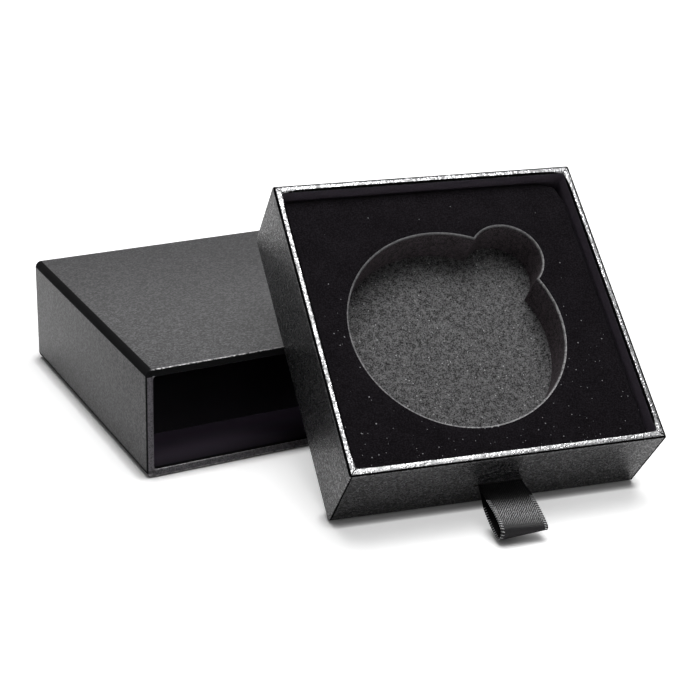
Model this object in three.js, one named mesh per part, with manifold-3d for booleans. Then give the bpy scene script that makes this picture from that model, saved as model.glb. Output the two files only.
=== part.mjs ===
// A drawer box for one coin capsule: a paper-wrapped board sleeve, and the drawer that slides in it,
// taken out and leaned on the sleeve's mouth. The drawer holds die-cut foam and has a ribbon pull.
// Millimetres, +Z up. The origin is the centre of the sleeve's underside, and its mouth faces -Y.

import * as THREE from "three";
import { mergeVertices } from "three/addons/utils/BufferGeometryUtils.js";
import Module from "manifold-3d";

const wasm = await Module();
wasm.setup();

// Stock that both halves are made of
const boardThickness = 1.5;
const paperThickness = 0.2;
const glueLine = 0.1;
const buttGap = 0.1;
const lipRadius = 0.35;
const sharpRadius = 0.05;
const cutOverrun = 1;

// Drawer
const trayWidth = 86;
const trayDepth = 86;
const trayHeight = 25.2;
const trayCornerRadius = 0.4;
const trayTurnIn = 8;
const stayTape = 0.12;
const stayLeg = 11;
const stayChamfer = 0.1;
const stayGap = 0.25;
const traySnipStart = 0.5;
const traySnipEnd = 2.2;

// Sleeve, sized from the drawer by its running clearances
const sideClearance = 0.4;
const headroom = 1.5;
const endClearance = 0.6;
const foldRadius = 1.8;
const sleeveTurnIn = 20;
const backTurnOver = 12;
const backPaperMargin = 1.5;
const baseSheetMargin = 2.2;
const liningGap = 0.3;
const sleeveSnipStart = 0.6;
const sleeveSnipEnd = 4.5;

// Foam
const foamDrop = 3.5;
const foamBaseThickness = 8.6;
const foamClearance = 0.3;
const foamCornerRadius = 1.6;
const foamEdgeRadius = 1.1;
const flockThickness = 0.35;
const flockSkirt = 2.4;
const seatGap = 0.3;

// Capsule recess and its thumb notch
const recessRadius = 29.2;
const recessOffsetX = -2.3;
const recessOffsetY = -2.9;
const notchRadius = 9.9;
const notchReach = 28.4;
const notchTurn = Math.PI / 4;

// Ribbon pull
const ribbonWidth = 12.7;
const ribbonThickness = 0.28;
const ribbonReach = 17.8;
const ribbonHalfLoop = 1.9;
const ribbonRise = THREE.MathUtils.degToRad(19.5);
const ribbonShift = 0.6;
const ribbonRootGap = 0.4;
const slitHeight = 10.4;
const slitOpening = 1.4;
const slitSideGap = 0.5;
const tailGap = 0.2;
const tailClearance = 1.2;

// How the drawer leans: its front edge stands ahead of the mouth, its underside meets the sleeve's edge
const leanYaw = THREE.MathUtils.degToRad(-9.26);
const footDistance = 40.65;
const footSide = 32.58;
const restGap = 0.3;

// Fineness of the round stretches
const foldSteps = 6;
const crispSteps = 2;
const lipSteps = 3;
const recessSteps = 56;
const ribbonSteps = 22;

// Sizes that follow from those above
const trayBoardInset = paperThickness + stayGap;
const trayBoardInner = trayBoardInset + boardThickness;
const trayWall = trayBoardInner + glueLine + paperThickness;
const paperStack = paperThickness + glueLine;
const sleeveBoardInner = paperStack + boardThickness;
const sleeveWall = sleeveBoardInner + glueLine + paperThickness;
const sleeveWidth = trayWidth + 2 * (sideClearance + sleeveWall);
const wrapHeight = trayHeight + headroom + 2 * sleeveWall;
const sleeveHeight = wrapHeight + paperStack;
const sleeveDepth = trayDepth + endClearance + sleeveWall + paperStack;
const wrapDepth = sleeveDepth - paperStack;
const trayFloorTop = paperStack + boardThickness;
const insertTop = trayHeight - foamDrop;
const foamBaseTop = trayFloorTop + glueLine + foamBaseThickness;
const insertFloor = foamBaseTop + seatGap;
const tailTop = trayHeight - trayTurnIn - tailClearance;
const tailFoot = trayFloorTop + tailClearance;
const foamHalfX = trayWidth / 2 - trayWall - foamClearance;
const foamHalfY = trayDepth / 2 - trayWall - foamClearance;

const finishes = {
  paper: new THREE.MeshStandardMaterial({ color: 0x2f2e32, roughness: 0.42, metalness: 0.35 }),
  lining: new THREE.MeshStandardMaterial({ color: 0x16131a, roughness: 0.7, metalness: 0 }),
  board: new THREE.MeshStandardMaterial({ color: 0x77736c, roughness: 0.9, metalness: 0 }),
  tape: new THREE.MeshStandardMaterial({ color: 0xb59f78, roughness: 0.85, metalness: 0 }),
  foam: new THREE.MeshStandardMaterial({ color: 0x2b2c2f, roughness: 0.95, metalness: 0 }),
  flock: new THREE.MeshStandardMaterial({ color: 0x0c0a0d, roughness: 1, metalness: 0 }),
  satin: new THREE.MeshStandardMaterial({ color: 0x121113, roughness: 0.35, metalness: 0 }),
};

function meshOf(name, geometry, material) {
  const mesh = new THREE.Mesh(geometry, material);
  mesh.name = name;
  return mesh;
}

// A closed geometry from points and triangles, its faces turned outwards
function closedGeometry(points, triangles) {
  let volume = 0;
  for (const [a, b, c] of triangles) {
    volume += points[a].dot(points[b].clone().cross(points[c]));
  }
  const faces = volume < 0 ? triangles.map(([a, b, c]) => [a, c, b]) : triangles;
  const geometry = new THREE.BufferGeometry();
  const positions = points.flatMap((point) => point.toArray());
  geometry.setAttribute("position", new THREE.Float32BufferAttribute(positions, 3));
  geometry.setIndex(faces.flat());
  geometry.computeVertexNormals();
  return geometry;
}

function solidOf(geometry) {
  const bare = geometry.clone();
  bare.deleteAttribute("normal");
  bare.deleteAttribute("uv");
  const merged = mergeVertices(bare);
  return new wasm.Manifold(
    new wasm.Mesh({
      numProp: 3,
      vertProperties: new Float32Array(merged.attributes.position.array),
      triVerts: new Uint32Array(merged.index.array),
    }),
  );
}

function geometryOf(solid) {
  const cut = solid.getMesh();
  const geometry = new THREE.BufferGeometry();
  geometry.setAttribute("position", new THREE.Float32BufferAttribute(cut.vertProperties, 3));
  geometry.setIndex(Array.from(cut.triVerts));
  geometry.computeVertexNormals();
  return geometry;
}

function cutFrom(geometry, cutters) {
  return geometryOf(cutters.reduce((solid, cutter) => solid.subtract(cutter), solidOf(geometry)));
}

// A box between two corners
function slab(low, high) {
  const size = high.clone().sub(low);
  const middle = low.clone().add(high).multiplyScalar(0.5);
  return new THREE.BoxGeometry(size.x, size.y, size.z).translate(middle.x, middle.y, middle.z);
}

const vec = (x, y, z) => new THREE.Vector3(x, y, z);

// The four corners of a rectangle, counter-clockwise from the one at +X +Y
const cornerSigns = [[1, 1], [-1, 1], [-1, -1], [1, -1]];

// The points of a rectangle with rounded corners, counter-clockwise
function roundedLoop(halfX, halfY, radius, steps) {
  const loop = [];
  cornerSigns.forEach(([signX, signY], corner) => {
    for (let step = 0; step <= steps; step += 1) {
      const angle = ((corner + step / steps) * Math.PI) / 2;
      const x = signX * (halfX - radius) + radius * Math.cos(angle);
      const y = signY * (halfY - radius) + radius * Math.sin(angle);
      loop.push([x, y]);
    }
  });
  return loop;
}

// A shell whose section, a list of [inset, level] points, runs round a rounded rectangle.
// A closed section makes a hoop, and an open one is capped at both of its ends.
function loftSection({ halfX, halfY, radius, steps, section, closed }) {
  const rings = section.map(([inset, level]) => {
    const ringRadius = Math.max(radius - inset, sharpRadius);
    return roundedLoop(halfX - inset, halfY - inset, ringRadius, steps).map(([x, y]) => vec(x, y, level));
  });
  const count = rings[0].length;
  const points = rings.flat();
  const triangles = [];
  const strips = closed ? rings.length : rings.length - 1;
  for (let ring = 0; ring < strips; ring += 1) {
    const here = ring * count;
    const next = ((ring + 1) % rings.length) * count;
    for (let i = 0; i < count; i += 1) {
      const j = (i + 1) % count;
      triangles.push([here + i, here + j, next + j], [here + i, next + j, next + i]);
    }
  }
  if (!closed) {
    const last = (rings.length - 1) * count;
    for (let i = 1; i < count - 1; i += 1) {
      triangles.push([0, i + 1, i], [last, last + i, last + i + 1]);
    }
  }
  return closedGeometry(points, triangles);
}

// A quarter round from the outer face at inset 0 over to the end face at the given level
function lipArc(level, radius, direction) {
  return Array.from({ length: lipSteps + 1 }, (_, step) => {
    const angle = ((step / lipSteps) * Math.PI) / 2;
    return [radius * (1 - Math.cos(angle)), level - direction * radius * (1 - Math.sin(angle))];
  });
}

// The paper where it is folded over a board's edge and turned in down the inner face
function turnedLip(level, wall, turnIn) {
  const outer = lipArc(level, lipRadius, 1);
  const inner = outer.map(([inset, height]) => [wall - inset, height]).reverse();
  return [
    ...outer,
    ...inner,
    [wall, level - turnIn],
    [wall - paperThickness, level - turnIn],
    [wall - paperThickness, level - paperThickness],
    [paperThickness, level - paperThickness],
  ];
}

// Wedges that part the turned-in paper into four flaps, narrow at the lip and wide at the flaps' ends.
// They stay inside the boards, so the folded corners outside are whole.
function snipCutters({ halfX, halfY, level, wall, turnIn, start, end }) {
  const clear = wall - paperThickness - glueLine / 2;
  const length = turnIn - lipRadius + cutOverrun;
  const top = level - lipRadius;
  const low = vec(clear - halfX, clear - halfY, top - length);
  const core = solidOf(slab(low, vec(halfX - clear, halfY - clear, top)));
  return cornerSigns.map(([signX, signY]) => {
    const wedge = new THREE.CylinderGeometry(start, end, length, 4).rotateX(Math.PI / 2);
    wedge.translate(signX * (halfX - wall), signY * (halfY - wall), top - length / 2);
    return solidOf(wedge).intersect(core);
  });
}

// The sleeve is built standing on its back: mouth up, its own height along Y
function sleeveWrap() {
  const box = { halfX: sleeveWidth / 2, halfY: wrapHeight / 2 };
  const back = lipArc(0, lipRadius, -1).reverse();
  const section = [
    [backTurnOver, 0],
    ...back,
    ...turnedLip(wrapDepth, sleeveWall, sleeveTurnIn),
    [paperThickness, paperThickness],
    [backTurnOver, paperThickness],
  ];
  const hoop = loftSection({ ...box, radius: foldRadius, steps: foldSteps, section, closed: true });
  const snips = snipCutters({
    ...box,
    level: wrapDepth,
    wall: sleeveWall,
    turnIn: sleeveTurnIn,
    start: sleeveSnipStart,
    end: sleeveSnipEnd,
  });
  return cutFrom(hoop, snips);
}

// A top or bottom board, its two outer long edges rounded where the paper folds over them
function foldedBoard(side) {
  const halfX = sleeveWidth / 2 - paperStack;
  const outer = wrapHeight / 2 - paperStack;
  const inner = outer - boardThickness;
  const radius = Math.min(boardThickness, foldRadius - paperStack);
  const shape = new THREE.Shape();
  shape.moveTo(-halfX, inner);
  shape.lineTo(halfX, inner);
  shape.lineTo(halfX, outer - radius);
  shape.absarc(halfX - radius, outer - radius, radius, 0, Math.PI / 2, false);
  shape.lineTo(-halfX + radius, outer);
  shape.absarc(-halfX + radius, outer - radius, radius, Math.PI / 2, Math.PI, false);
  const depth = wrapDepth - 2 * paperStack;
  const board = new THREE.ExtrudeGeometry(shape, { depth, bevelEnabled: false, curveSegments: foldSteps });
  board.translate(0, 0, paperStack);
  return side < 0 ? board.rotateZ(Math.PI) : board;
}

function sleeveSideBoard(side) {
  const outer = sleeveWidth / 2 - paperStack;
  const inner = outer - boardThickness;
  const reach = wrapHeight / 2 - sleeveBoardInner - buttGap;
  const low = vec(Math.min(side * outer, side * inner), -reach, paperStack);
  const high = vec(Math.max(side * outer, side * inner), reach, wrapDepth - paperStack);
  return slab(low, high);
}

function sleeveBackBoard() {
  const halfX = sleeveWidth / 2 - sleeveBoardInner - buttGap;
  const halfY = wrapHeight / 2 - sleeveBoardInner - buttGap;
  return slab(vec(-halfX, -halfY, paperStack), vec(halfX, halfY, sleeveBoardInner));
}

// The inner lining starts where the turned-in paper ends and covers the walls and the back
function sleeveLining() {
  const outerInset = sleeveBoardInner + glueLine;
  const rim = wrapDepth - sleeveTurnIn - liningGap;
  const section = [
    [outerInset, outerInset],
    [outerInset, rim],
    [sleeveWall, rim],
    [sleeveWall, sleeveWall],
  ];
  const halfX = sleeveWidth / 2;
  const halfY = wrapHeight / 2;
  return loftSection({ halfX, halfY, radius: 0, steps: crispSteps, section, closed: false });
}

function sleeveBackPaper() {
  const halfX = sleeveWidth / 2 - backPaperMargin;
  const halfY = wrapHeight / 2 - backPaperMargin;
  return slab(vec(-halfX, -halfY, -paperStack), vec(halfX, halfY, -glueLine));
}

// The sheet that covers the wrap's glued seam under the sleeve, and that the box stands on
function sleeveBaseSheet() {
  const halfX = sleeveWidth / 2 - baseSheetMargin;
  const under = -wrapHeight / 2 - paperStack;
  const low = vec(-halfX, under, baseSheetMargin);
  return slab(low, vec(halfX, under + paperThickness, wrapDepth - baseSheetMargin));
}

function sleeveGroup() {
  const sleeve = new THREE.Group();
  sleeve.add(
    meshOf("sleeve_top_board", foldedBoard(1), finishes.board),
    meshOf("sleeve_bottom_board", foldedBoard(-1), finishes.board),
    meshOf("sleeve_left_board", sleeveSideBoard(-1), finishes.board),
    meshOf("sleeve_right_board", sleeveSideBoard(1), finishes.board),
    meshOf("sleeve_back_board", sleeveBackBoard(), finishes.board),
    meshOf("sleeve_wrap", sleeveWrap(), finishes.paper),
    meshOf("sleeve_lining", sleeveLining(), finishes.lining),
    meshOf("sleeve_back_paper", sleeveBackPaper(), finishes.paper),
    meshOf("sleeve_base_sheet", sleeveBaseSheet(), finishes.paper),
  );
  // Laid down: the mouth turns to -Y and the underside to the ground
  sleeve.rotation.x = Math.PI / 2;
  sleeve.position.set(0, sleeveDepth / 2 - paperStack, paperStack + wrapHeight / 2);
  return sleeve;
}

// The slit in the drawer's front, through which the ribbon's two ends pass
function slitCutter() {
  const half = ribbonWidth / 2 + slitSideGap;
  const front = -trayDepth / 2 - cutOverrun;
  const low = vec(ribbonShift - half, front, slitHeight - slitOpening / 2);
  const back = front + trayWall + 2 * cutOverrun;
  return solidOf(slab(low, vec(ribbonShift + half, back, slitHeight + slitOpening / 2)));
}

// One sheet covers the drawer's underside and walls, folds over the rim and turns in
function trayWrap() {
  const box = { halfX: trayWidth / 2, halfY: trayDepth / 2 };
  const bottom = lipArc(0, lipRadius, -1).reverse();
  const section = [...bottom, ...turnedLip(trayHeight, trayWall, trayTurnIn), [paperThickness, paperThickness]];
  const shell = loftSection({ ...box, radius: trayCornerRadius, steps: crispSteps, section, closed: false });
  const snips = snipCutters({
    ...box,
    level: trayHeight,
    wall: trayWall,
    turnIn: trayTurnIn,
    start: traySnipStart,
    end: traySnipEnd,
  });
  return cutFrom(shell, [slitCutter(), ...snips]);
}

function trayFloorBoard() {
  const halfX = trayWidth / 2 - trayBoardInner - buttGap;
  const halfY = trayDepth / 2 - trayBoardInner - buttGap;
  return slab(vec(-halfX, -halfY, paperStack), vec(halfX, halfY, trayFloorTop));
}

// The side walls run the full depth, and the front and back walls stand between them
function traySideBoard(side) {
  const outer = trayWidth / 2 - trayBoardInset;
  const inner = trayWidth / 2 - trayBoardInner;
  const halfY = trayDepth / 2 - trayBoardInset;
  const low = vec(Math.min(side * outer, side * inner), -halfY, paperStack);
  return slab(low, vec(Math.max(side * outer, side * inner), halfY, trayHeight - paperStack));
}

function trayEndBoard(side) {
  const outer = trayDepth / 2 - trayBoardInset;
  const inner = trayDepth / 2 - trayBoardInner;
  const halfX = trayWidth / 2 - trayBoardInner - buttGap;
  const low = vec(-halfX, Math.min(side * outer, side * inner), paperStack);
  const board = slab(low, vec(halfX, Math.max(side * outer, side * inner), trayHeight - paperStack));
  return side < 0 ? cutFrom(board, [slitCutter()]) : board;
}

// A strip of gummed tape bent round an upright corner of the boards, under the wrap
function cornerStay(signX, signY) {
  const inset = paperThickness + (stayGap - stayTape) / 2;
  const cornerX = trayWidth / 2 - inset;
  const cornerY = trayDepth / 2 - inset;
  const outline = [
    [stayLeg, 0],
    [stayChamfer, 0],
    [0, stayChamfer],
    [0, stayLeg],
    [stayTape, stayLeg],
    [stayTape, stayTape],
    [stayLeg, stayTape],
  ];
  const corners = outline.map(([x, y]) => new THREE.Vector2(signX * (cornerX - x), signY * (cornerY - y)));
  const depth = trayHeight - 2 * paperStack;
  const stay = new THREE.ExtrudeGeometry(new THREE.Shape(corners), { depth, bevelEnabled: false });
  return stay.translate(0, 0, paperStack);
}

// The outline of the recess: the capsule's circle joined with the thumb notch's circle
function recessShape() {
  const along = (recessRadius ** 2 - notchRadius ** 2 + notchReach ** 2) / (2 * notchReach);
  const half = Math.acos(along / recessRadius);
  const notchHalf = Math.PI - Math.acos((notchReach - along) / notchRadius);
  const notchX = recessOffsetX + notchReach * Math.cos(notchTurn);
  const notchY = recessOffsetY + notchReach * Math.sin(notchTurn);
  const shape = new THREE.Shape();
  const end = notchTurn - half + 2 * Math.PI;
  shape.absarc(recessOffsetX, recessOffsetY, recessRadius, notchTurn + half, end, false);
  shape.absarc(notchX, notchY, notchRadius, notchTurn - notchHalf, notchTurn + notchHalf, false);
  return shape;
}

function recessCutter(low, high) {
  const settings = { depth: high - low, bevelEnabled: false, curveSegments: recessSteps };
  return solidOf(new THREE.ExtrudeGeometry(recessShape(), settings).translate(0, 0, low));
}

// A block of foam with rounded upright corners and its top edge rounded over
function foamBlock(halfX, halfY, low, high, edgeRadius) {
  const section = [[0, low], ...lipArc(high, edgeRadius, 1)];
  return loftSection({ halfX, halfY, radius: foamCornerRadius, steps: foldSteps, section, closed: false });
}

function foamInsert() {
  const inset = flockThickness + glueLine;
  const top = insertTop - inset;
  const block = foamBlock(foamHalfX - inset, foamHalfY - inset, insertFloor, top, foamEdgeRadius);
  return cutFrom(block, [recessCutter(insertFloor - cutOverrun, top + cutOverrun)]);
}

// The flocked face: a thin skin over the insert's top that rolls down over its edges
function insertFlock() {
  const skirtFloor = insertTop - flockSkirt;
  const outer = foamBlock(foamHalfX, foamHalfY, skirtFloor, insertTop, foamEdgeRadius + flockThickness);
  const hollow = foamBlock(
    foamHalfX - flockThickness,
    foamHalfY - flockThickness,
    skirtFloor - cutOverrun,
    insertTop - flockThickness,
    foamEdgeRadius,
  );
  return cutFrom(outer, [solidOf(hollow), recessCutter(skirtFloor - cutOverrun, insertTop + cutOverrun)]);
}

function foamBase() {
  return foamBlock(foamHalfX, foamHalfY, trayFloorTop + glueLine, foamBaseTop, sharpRadius);
}

// Half of the loop's side view: [share of the reach, share of the half height]
const loopShares = [[0, 0.16], [0.14, 0.32], [0.38, 0.8], [0.62, 1], [0.84, 0.86], [0.96, 0.5], [1, 0]];

// Turns a side view drawn as [outward, upward] into a solid across the ribbon's width
function acrossRibbon(shape) {
  const strip = new THREE.ExtrudeGeometry(shape, { depth: ribbonWidth, bevelEnabled: false });
  strip.applyMatrix4(new THREE.Matrix4().makeBasis(vec(0, -1, 0), vec(0, 0, 1), vec(-1, 0, 0)));
  return strip.translate(ribbonWidth / 2, 0, 0);
}

// The doubled ribbon outside the slit, open between its layers and folded at the tip
function ribbonLoop() {
  const knots = loopShares.map(([out, up]) => new THREE.Vector2(out * ribbonReach, up * ribbonHalfLoop));
  const upper = new THREE.SplineCurve(knots);
  const outer = upper.getPoints(ribbonSteps);
  const inner = [];
  outer.forEach((point, index) => {
    const tangent = upper.getTangent(index / ribbonSteps);
    const offset = new THREE.Vector2(tangent.y, -tangent.x).multiplyScalar(ribbonThickness);
    const moved = point.clone().add(offset);
    if (moved.y > ribbonThickness) {
      inner.push(moved);
    }
  });
  const mirror = (points) => points.map((p) => new THREE.Vector2(p.x, -p.y)).reverse();
  const last = outer.length - 1;
  const shape = new THREE.Shape([...outer, ...mirror(outer.slice(0, last))]);
  const throat = new THREE.Vector2(inner[0].x - ribbonThickness, 0);
  const tip = new THREE.Vector2(ribbonReach - ribbonThickness, 0);
  shape.holes.push(new THREE.Path([throat, ...inner, tip, ...mirror(inner)].reverse()));
  return acrossRibbon(shape);
}

// The ribbon's two ends through the slit, one glued up and one down the inside of the front wall
function ribbonTails() {
  const faceIn = -(trayBoardInner + glueLine / 2);
  const backIn = faceIn - ribbonThickness;
  const top = tailTop - slitHeight;
  const foot = tailFoot - slitHeight;
  const shape = new THREE.Shape();
  shape.moveTo(-tailGap, -ribbonThickness);
  shape.lineTo(-tailGap, ribbonThickness);
  shape.lineTo(faceIn, ribbonThickness);
  shape.lineTo(faceIn, top);
  shape.lineTo(backIn, top);
  shape.lineTo(backIn, foot);
  shape.lineTo(faceIn, foot);
  shape.lineTo(faceIn, -ribbonThickness);
  return acrossRibbon(shape);
}

// The drawer stands at its own origin, the centre of its underside
function trayGroup() {
  const tray = new THREE.Group();
  tray.add(
    meshOf("tray_floor_board", trayFloorBoard(), finishes.board),
    meshOf("tray_front_board", trayEndBoard(-1), finishes.board),
    meshOf("tray_back_board", trayEndBoard(1), finishes.board),
    meshOf("tray_left_board", traySideBoard(-1), finishes.board),
    meshOf("tray_right_board", traySideBoard(1), finishes.board),
    meshOf("tray_wrap", trayWrap(), finishes.paper),
    meshOf("foam_base", foamBase(), finishes.foam),
    meshOf("foam_insert", foamInsert(), finishes.foam),
    meshOf("insert_flock", insertFlock(), finishes.flock),
  );
  const corners = { front_left: [-1, -1], front_right: [1, -1], back_left: [-1, 1], back_right: [1, 1] };
  for (const [name, [signX, signY]] of Object.entries(corners)) {
    tray.add(meshOf(`corner_stay_${name}`, cornerStay(signX, signY), finishes.tape));
  }
  const slit = new THREE.Group();
  slit.position.set(ribbonShift, -trayDepth / 2, slitHeight);
  slit.add(meshOf("ribbon_tails", ribbonTails(), finishes.satin));
  const pull = new THREE.Group();
  pull.rotation.x = -ribbonRise;
  const loop = meshOf("ribbon_loop", ribbonLoop(), finishes.satin);
  loop.position.y = -ribbonRootGap;
  pull.add(loop);
  slit.add(pull);
  tray.add(slit);
  return tray;
}

// The drawer leaned back: turned, tilted until its underside clears the sleeve's edge, and set down
function leaningTray() {
  const lean = Math.atan((sleeveHeight * Math.cos(leanYaw)) / footDistance);
  const tray = trayGroup();
  tray.position.set(trayWidth / 2, trayDepth / 2, 0);
  const tilted = new THREE.Group();
  tilted.rotation.x = lean;
  tilted.add(tray);
  const standing = new THREE.Group();
  standing.rotation.z = leanYaw;
  standing.position.set(footSide - sleeveWidth / 2, -sleeveDepth / 2 - footDistance, restGap);
  standing.add(tilted);
  return standing;
}

const capsuleBox = new THREE.Group();
capsuleBox.add(sleeveGroup(), leaningTray());

export default capsuleBox;
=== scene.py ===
"""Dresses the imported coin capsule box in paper, foam, flock and satin, in a plain studio."""

import logging
import math
from collections.abc import Callable, Iterable, Sequence
from dataclasses import dataclass, field
from enum import Enum
from itertools import accumulate, product
from typing import Any

import bmesh
import bpy
from mathutils import Matrix, Vector, noise


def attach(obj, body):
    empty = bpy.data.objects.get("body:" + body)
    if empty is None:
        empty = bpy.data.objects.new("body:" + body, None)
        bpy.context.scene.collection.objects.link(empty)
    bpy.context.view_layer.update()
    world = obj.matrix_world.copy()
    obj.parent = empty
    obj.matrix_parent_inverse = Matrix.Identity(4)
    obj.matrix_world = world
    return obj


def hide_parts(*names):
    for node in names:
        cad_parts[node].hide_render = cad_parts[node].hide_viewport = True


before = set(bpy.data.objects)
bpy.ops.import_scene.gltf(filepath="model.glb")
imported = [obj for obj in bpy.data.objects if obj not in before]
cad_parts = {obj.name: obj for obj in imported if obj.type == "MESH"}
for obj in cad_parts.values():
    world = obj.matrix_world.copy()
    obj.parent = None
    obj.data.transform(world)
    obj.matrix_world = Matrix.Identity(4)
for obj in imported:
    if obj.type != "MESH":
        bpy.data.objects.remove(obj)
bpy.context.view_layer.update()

LOG = logging.getLogger("coin_capsule_box")
QUARTER = math.pi / 2
Colour = tuple[float, float, float]
Ramp = tuple[float, float]
Test = Callable[[Vector, Vector], bool]
PointTest = Callable[[Vector], bool]
WHITE: Colour = (1.0, 1.0, 1.0)
BLACK: Colour = (0.0, 0.0, 0.0)


def mm(value: float) -> float:
    """Returns millimetres as metres."""
    return value * 0.001


# How near two places are that count as the same.
HAIR = mm(0.01)
# From which share of its normal a face counts as facing one way.
FACING = 0.9
SIGNS = (-1, 1)


class Body(Enum):
    """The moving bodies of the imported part."""

    SLEEVE = "sleeve"
    TRAY = "tray"
    INSERT = "insert"
    RIBBON = "ribbon"


class Slot(Enum):
    """The record's material slots that new pieces use."""

    WRAP = "wrap_paper"
    FOAM = "foam"
    FLOCK = "flock"
    SATIN = "satin"


@dataclass(frozen=True)
class Stock:
    """The paper that covers both halves."""

    paper: float = mm(0.2)
    glue: float = mm(0.1)
    lip_radius: float = mm(0.35)

    @property
    def stack(self) -> float:
        """Returns the thickness of the paper with its glue."""
        return self.paper + self.glue


@dataclass(frozen=True)
class DrawerSizes:
    """The drawer in its own frame, whose origin is the centre of its underside."""

    width: float = mm(86)
    depth: float = mm(86)
    height: float = mm(25.2)
    wall: float = mm(2.25)
    turn_in: float = mm(8)
    corner_radius: float = mm(0.4)
    foam_drop: float = mm(3.5)
    foam_clearance: float = mm(0.3)
    floor_top: float = mm(1.8)
    foam_base: float = mm(8.6)
    seat_gap: float = mm(0.3)


@dataclass(frozen=True)
class SleeveSizes:
    """The sleeve in the row frame."""

    width: float = mm(91)
    depth: float = mm(89)
    wrap_height: float = mm(30.9)
    wall: float = mm(2.1)
    fold_radius: float = mm(1.8)
    turn_in: float = mm(20)
    back_turn_over: float = mm(12)


STOCK = Stock()
DRAWER = DrawerSizes()
SLEEVE = SleeveSizes()


@dataclass(frozen=True)
class Stance:
    """How the drawer leans on the sleeve."""

    yaw: float = math.radians(-9.26)
    foot_distance: float = mm(40.65)
    foot_side: float = mm(32.58)
    rest_gap: float = mm(0.3)

    def matrix(self) -> Matrix:
        """Returns the matrix from the drawer's own frame to the row frame."""
        rise = (SLEEVE.wrap_height + STOCK.stack) * math.cos(self.yaw)
        lean = math.atan(rise / self.foot_distance)
        foot_x, foot_y = self.foot_side - SLEEVE.width / 2, -SLEEVE.depth / 2 - self.foot_distance
        foot = Matrix.Translation((foot_x, foot_y, self.rest_gap))
        turn = Matrix.Rotation(self.yaw, 4, "Z") @ Matrix.Rotation(lean, 4, "X")
        return foot @ turn @ Matrix.Translation((DRAWER.width / 2, DRAWER.depth / 2, 0))


LEANING = Stance().matrix()


class Wire:
    """A node's output. Its operators add Math nodes."""

    def __init__(self, graph: "Graph", socket: bpy.types.NodeSocket) -> None:
        """Keeps the graph and the output socket."""
        self.graph = graph
        self.socket = socket

    def __add__(self, other: "Wire | float") -> "Wire":
        """Returns self + other."""
        return self.graph.math("ADD", self, other)

    __radd__ = __add__

    def __sub__(self, other: "Wire | float") -> "Wire":
        """Returns self - other."""
        return self.graph.math("SUBTRACT", self, other)

    def __rsub__(self, other: "Wire | float") -> "Wire":
        """Returns other - self."""
        return self.graph.math("SUBTRACT", other, self)

    def __mul__(self, other: "Wire | float") -> "Wire":
        """Returns self * other."""
        return self.graph.math("MULTIPLY", self, other)

    __rmul__ = __mul__

    def __pow__(self, other: float) -> "Wire":
        """Returns self to a power."""
        return self.graph.math("POWER", self, other)

    def __abs__(self) -> "Wire":
        """Returns the value without its sign."""
        return self.graph.math("ABSOLUTE", self)

    def clamp(self) -> "Wire":
        """Returns the value held between 0 and 1."""
        return self.graph.add("ShaderNodeClamp", {0: self})

    def rise(self, start: float, end: float) -> "Wire":
        """Returns 0 before start and 1 after end, with a straight ramp between them."""
        return ((self - start) * (1.0 / (end - start))).clamp()

    def fall(self, start: float, end: float) -> "Wire":
        """Returns 1 before start and 0 after end, with a straight ramp between them."""
        return 1.0 - self.rise(start, end)

    def near(self, middle: "Wire | float", full: float, end: float) -> "Wire":
        """Returns 1 up to a distance from a value, and 0 past a further one."""
        return abs(self - middle).fall(full, end)

    def most(self, other: "Wire") -> "Wire":
        """Returns the larger of two wires."""
        return self.graph.math("MAXIMUM", self, other)


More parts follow.
